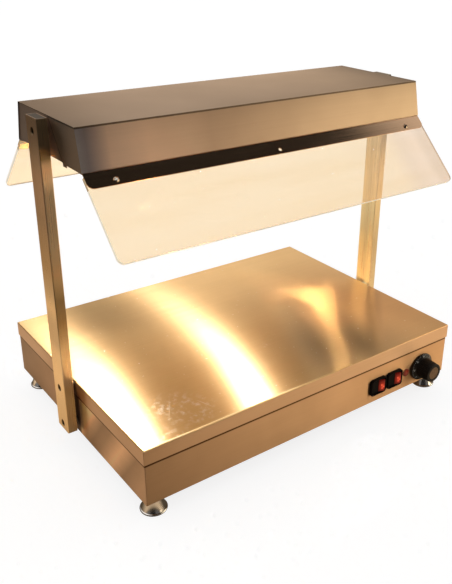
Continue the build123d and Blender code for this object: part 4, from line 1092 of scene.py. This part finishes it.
walls, window, soft_light, plain_white = (
    add(tree, "Background", [("Color", colour), ("Strength", strength)])
    for colour, strength in ((ramp(rise, wall_tones), wall_light), (window_colour, window_light),
                             (white, 0.75), (white, 1.0)))
room = add(tree, "AddShader", [(0, walls), (1, window)])
unseen = add(tree, "MixShader", [(0, mirrored), (1, soft_light), (2, room)])
everything = add(tree, "MixShader", [(0, seen), (1, unseen), (2, plain_white)])
plug(tree.nodes.new("ShaderNodeOutputWorld").inputs["Surface"], everything)
print("world of", len(tree.nodes), "nodes")

# %% [markdown]
# ## The heat lamps' light
# The glowing coils are too thin to light the plate without noise, so a small area light hangs under each
# tube. The plate and the posts need different strengths, so light linking splits the work: one light
# leaves out the posts and the floor, the other lights only the posts. Filter Glossy and the indirect
# clamp would wash out the streak that the right post throws back onto the plate, so both are off.

# %% Heat lamps
lamp_wide, lamp_below, lamp_colour = 0.012, 0.002, (0.86, 0.91, 1.0)
post_watts, post_length, post_aside = 3.0, 0.02, 0.034
posts = [nodes["post_left"], nodes["post_right"]]


def heat_light(name, node, watts, length, aside, things, state):
    """An area light just under a tube, shining down; state says if it lights only the things or all else."""
    x, y, _ = middle_of(node)
    light = bpy.data.lights.new(name, "AREA")
    light.shape = "RECTANGLE"
    light.size = length
    light.size_y = lamp_wide
    light.energy = watts
    light.color = lamp_colour
    lamp = put(name, light)
    lamp.location = (x + aside, y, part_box(node)[0][2] - lamp_below)
    lamp.visible_camera = False
    linked = bpy.data.collections.new(name + "_things")
    for thing in things:
        linked.objects.link(thing)
    for entry in linked.collection_objects:
        entry.light_linking.link_state = state
    lamp.light_linking.receiver_collection = linked
    print(name, watts, "W at", [round(part, 4) for part in lamp.location])


plate_lights = (("left", -1, 3.2, 0.0675, -0.0165), ("right", 1, 2.14, 0.044, 0.0045))
for side, out, watts, length, aside in plate_lights:
    rod = "quartz_lamp_" + side
    heat_light("heat_light_" + side, rod, watts, length, aside, posts + [floor], "EXCLUDE")
    heat_light("post_light_" + side, rod, post_watts, post_length, out * post_aside, posts, "INCLUDE")
scene.cycles.blur_glossy = 0.0
scene.cycles.sample_clamp_indirect = 0.0

# %% [markdown]
# ## Camera
# The viewpoint comes from a fit of the CAD edges to the photograph, a crop of a wider picture: its
# optical axis doesn't pass through the middle, and that is what the lens shift is for. The fit gives
# focal length and axis in pixels, and Blender wants them in shares of the sensor.

# %% Camera
picture_wide, picture_high, sensor = 452, 584, 36.0
focal_px, axis_x_px, axis_y_px = 760.908, 272.3187, 264.1757
casing_seen_at = np.array([-0.0669088, 0.1865352, 1.351358])      # right, down and forward of the camera


def aim(azimuth, elevation, roll):
    """Camera axes (right, down, forward) for a view from that azimuth and elevation, then rolled."""
    a, e, r = np.radians([azimuth, elevation, roll])
    forward = -np.array([np.sin(a) * np.cos(e), -np.cos(a) * np.cos(e), np.sin(e)])
    right = np.cross(forward, (0, 0, 1))
    right /= np.linalg.norm(right)
    turn = np.array([[np.cos(r), -np.sin(r)], [np.sin(r), np.cos(r)]])
    return np.vstack([turn @ np.vstack([right, np.cross(forward, right)]), forward])


axes = aim(azimuth=-38.2791, elevation=23.5893, roll=1.3057)
eye = -axes.T @ casing_seen_at + (0, 0, casing_low[2])
stand = np.eye(4)
stand[:3, :3] = np.column_stack([axes[0], -axes[1], -axes[2]])
stand[:3, 3] = eye
camera_data = bpy.data.cameras.new("camera")
camera_data.sensor_fit = "VERTICAL"
camera_data.sensor_width = sensor
camera_data.sensor_height = sensor
camera_data.lens = focal_px / picture_high * sensor
camera_data.shift_x = -(axis_x_px - picture_wide / 2) / picture_high
camera_data.shift_y = -(picture_high / 2 - axis_y_px) / picture_high
scene.camera = put("camera", camera_data)
scene.camera.matrix_world = Matrix(stand.tolist())
scene.view_settings.view_transform = "Standard"
print("camera at", eye.round(4), "lens", round(camera_data.lens, 2))
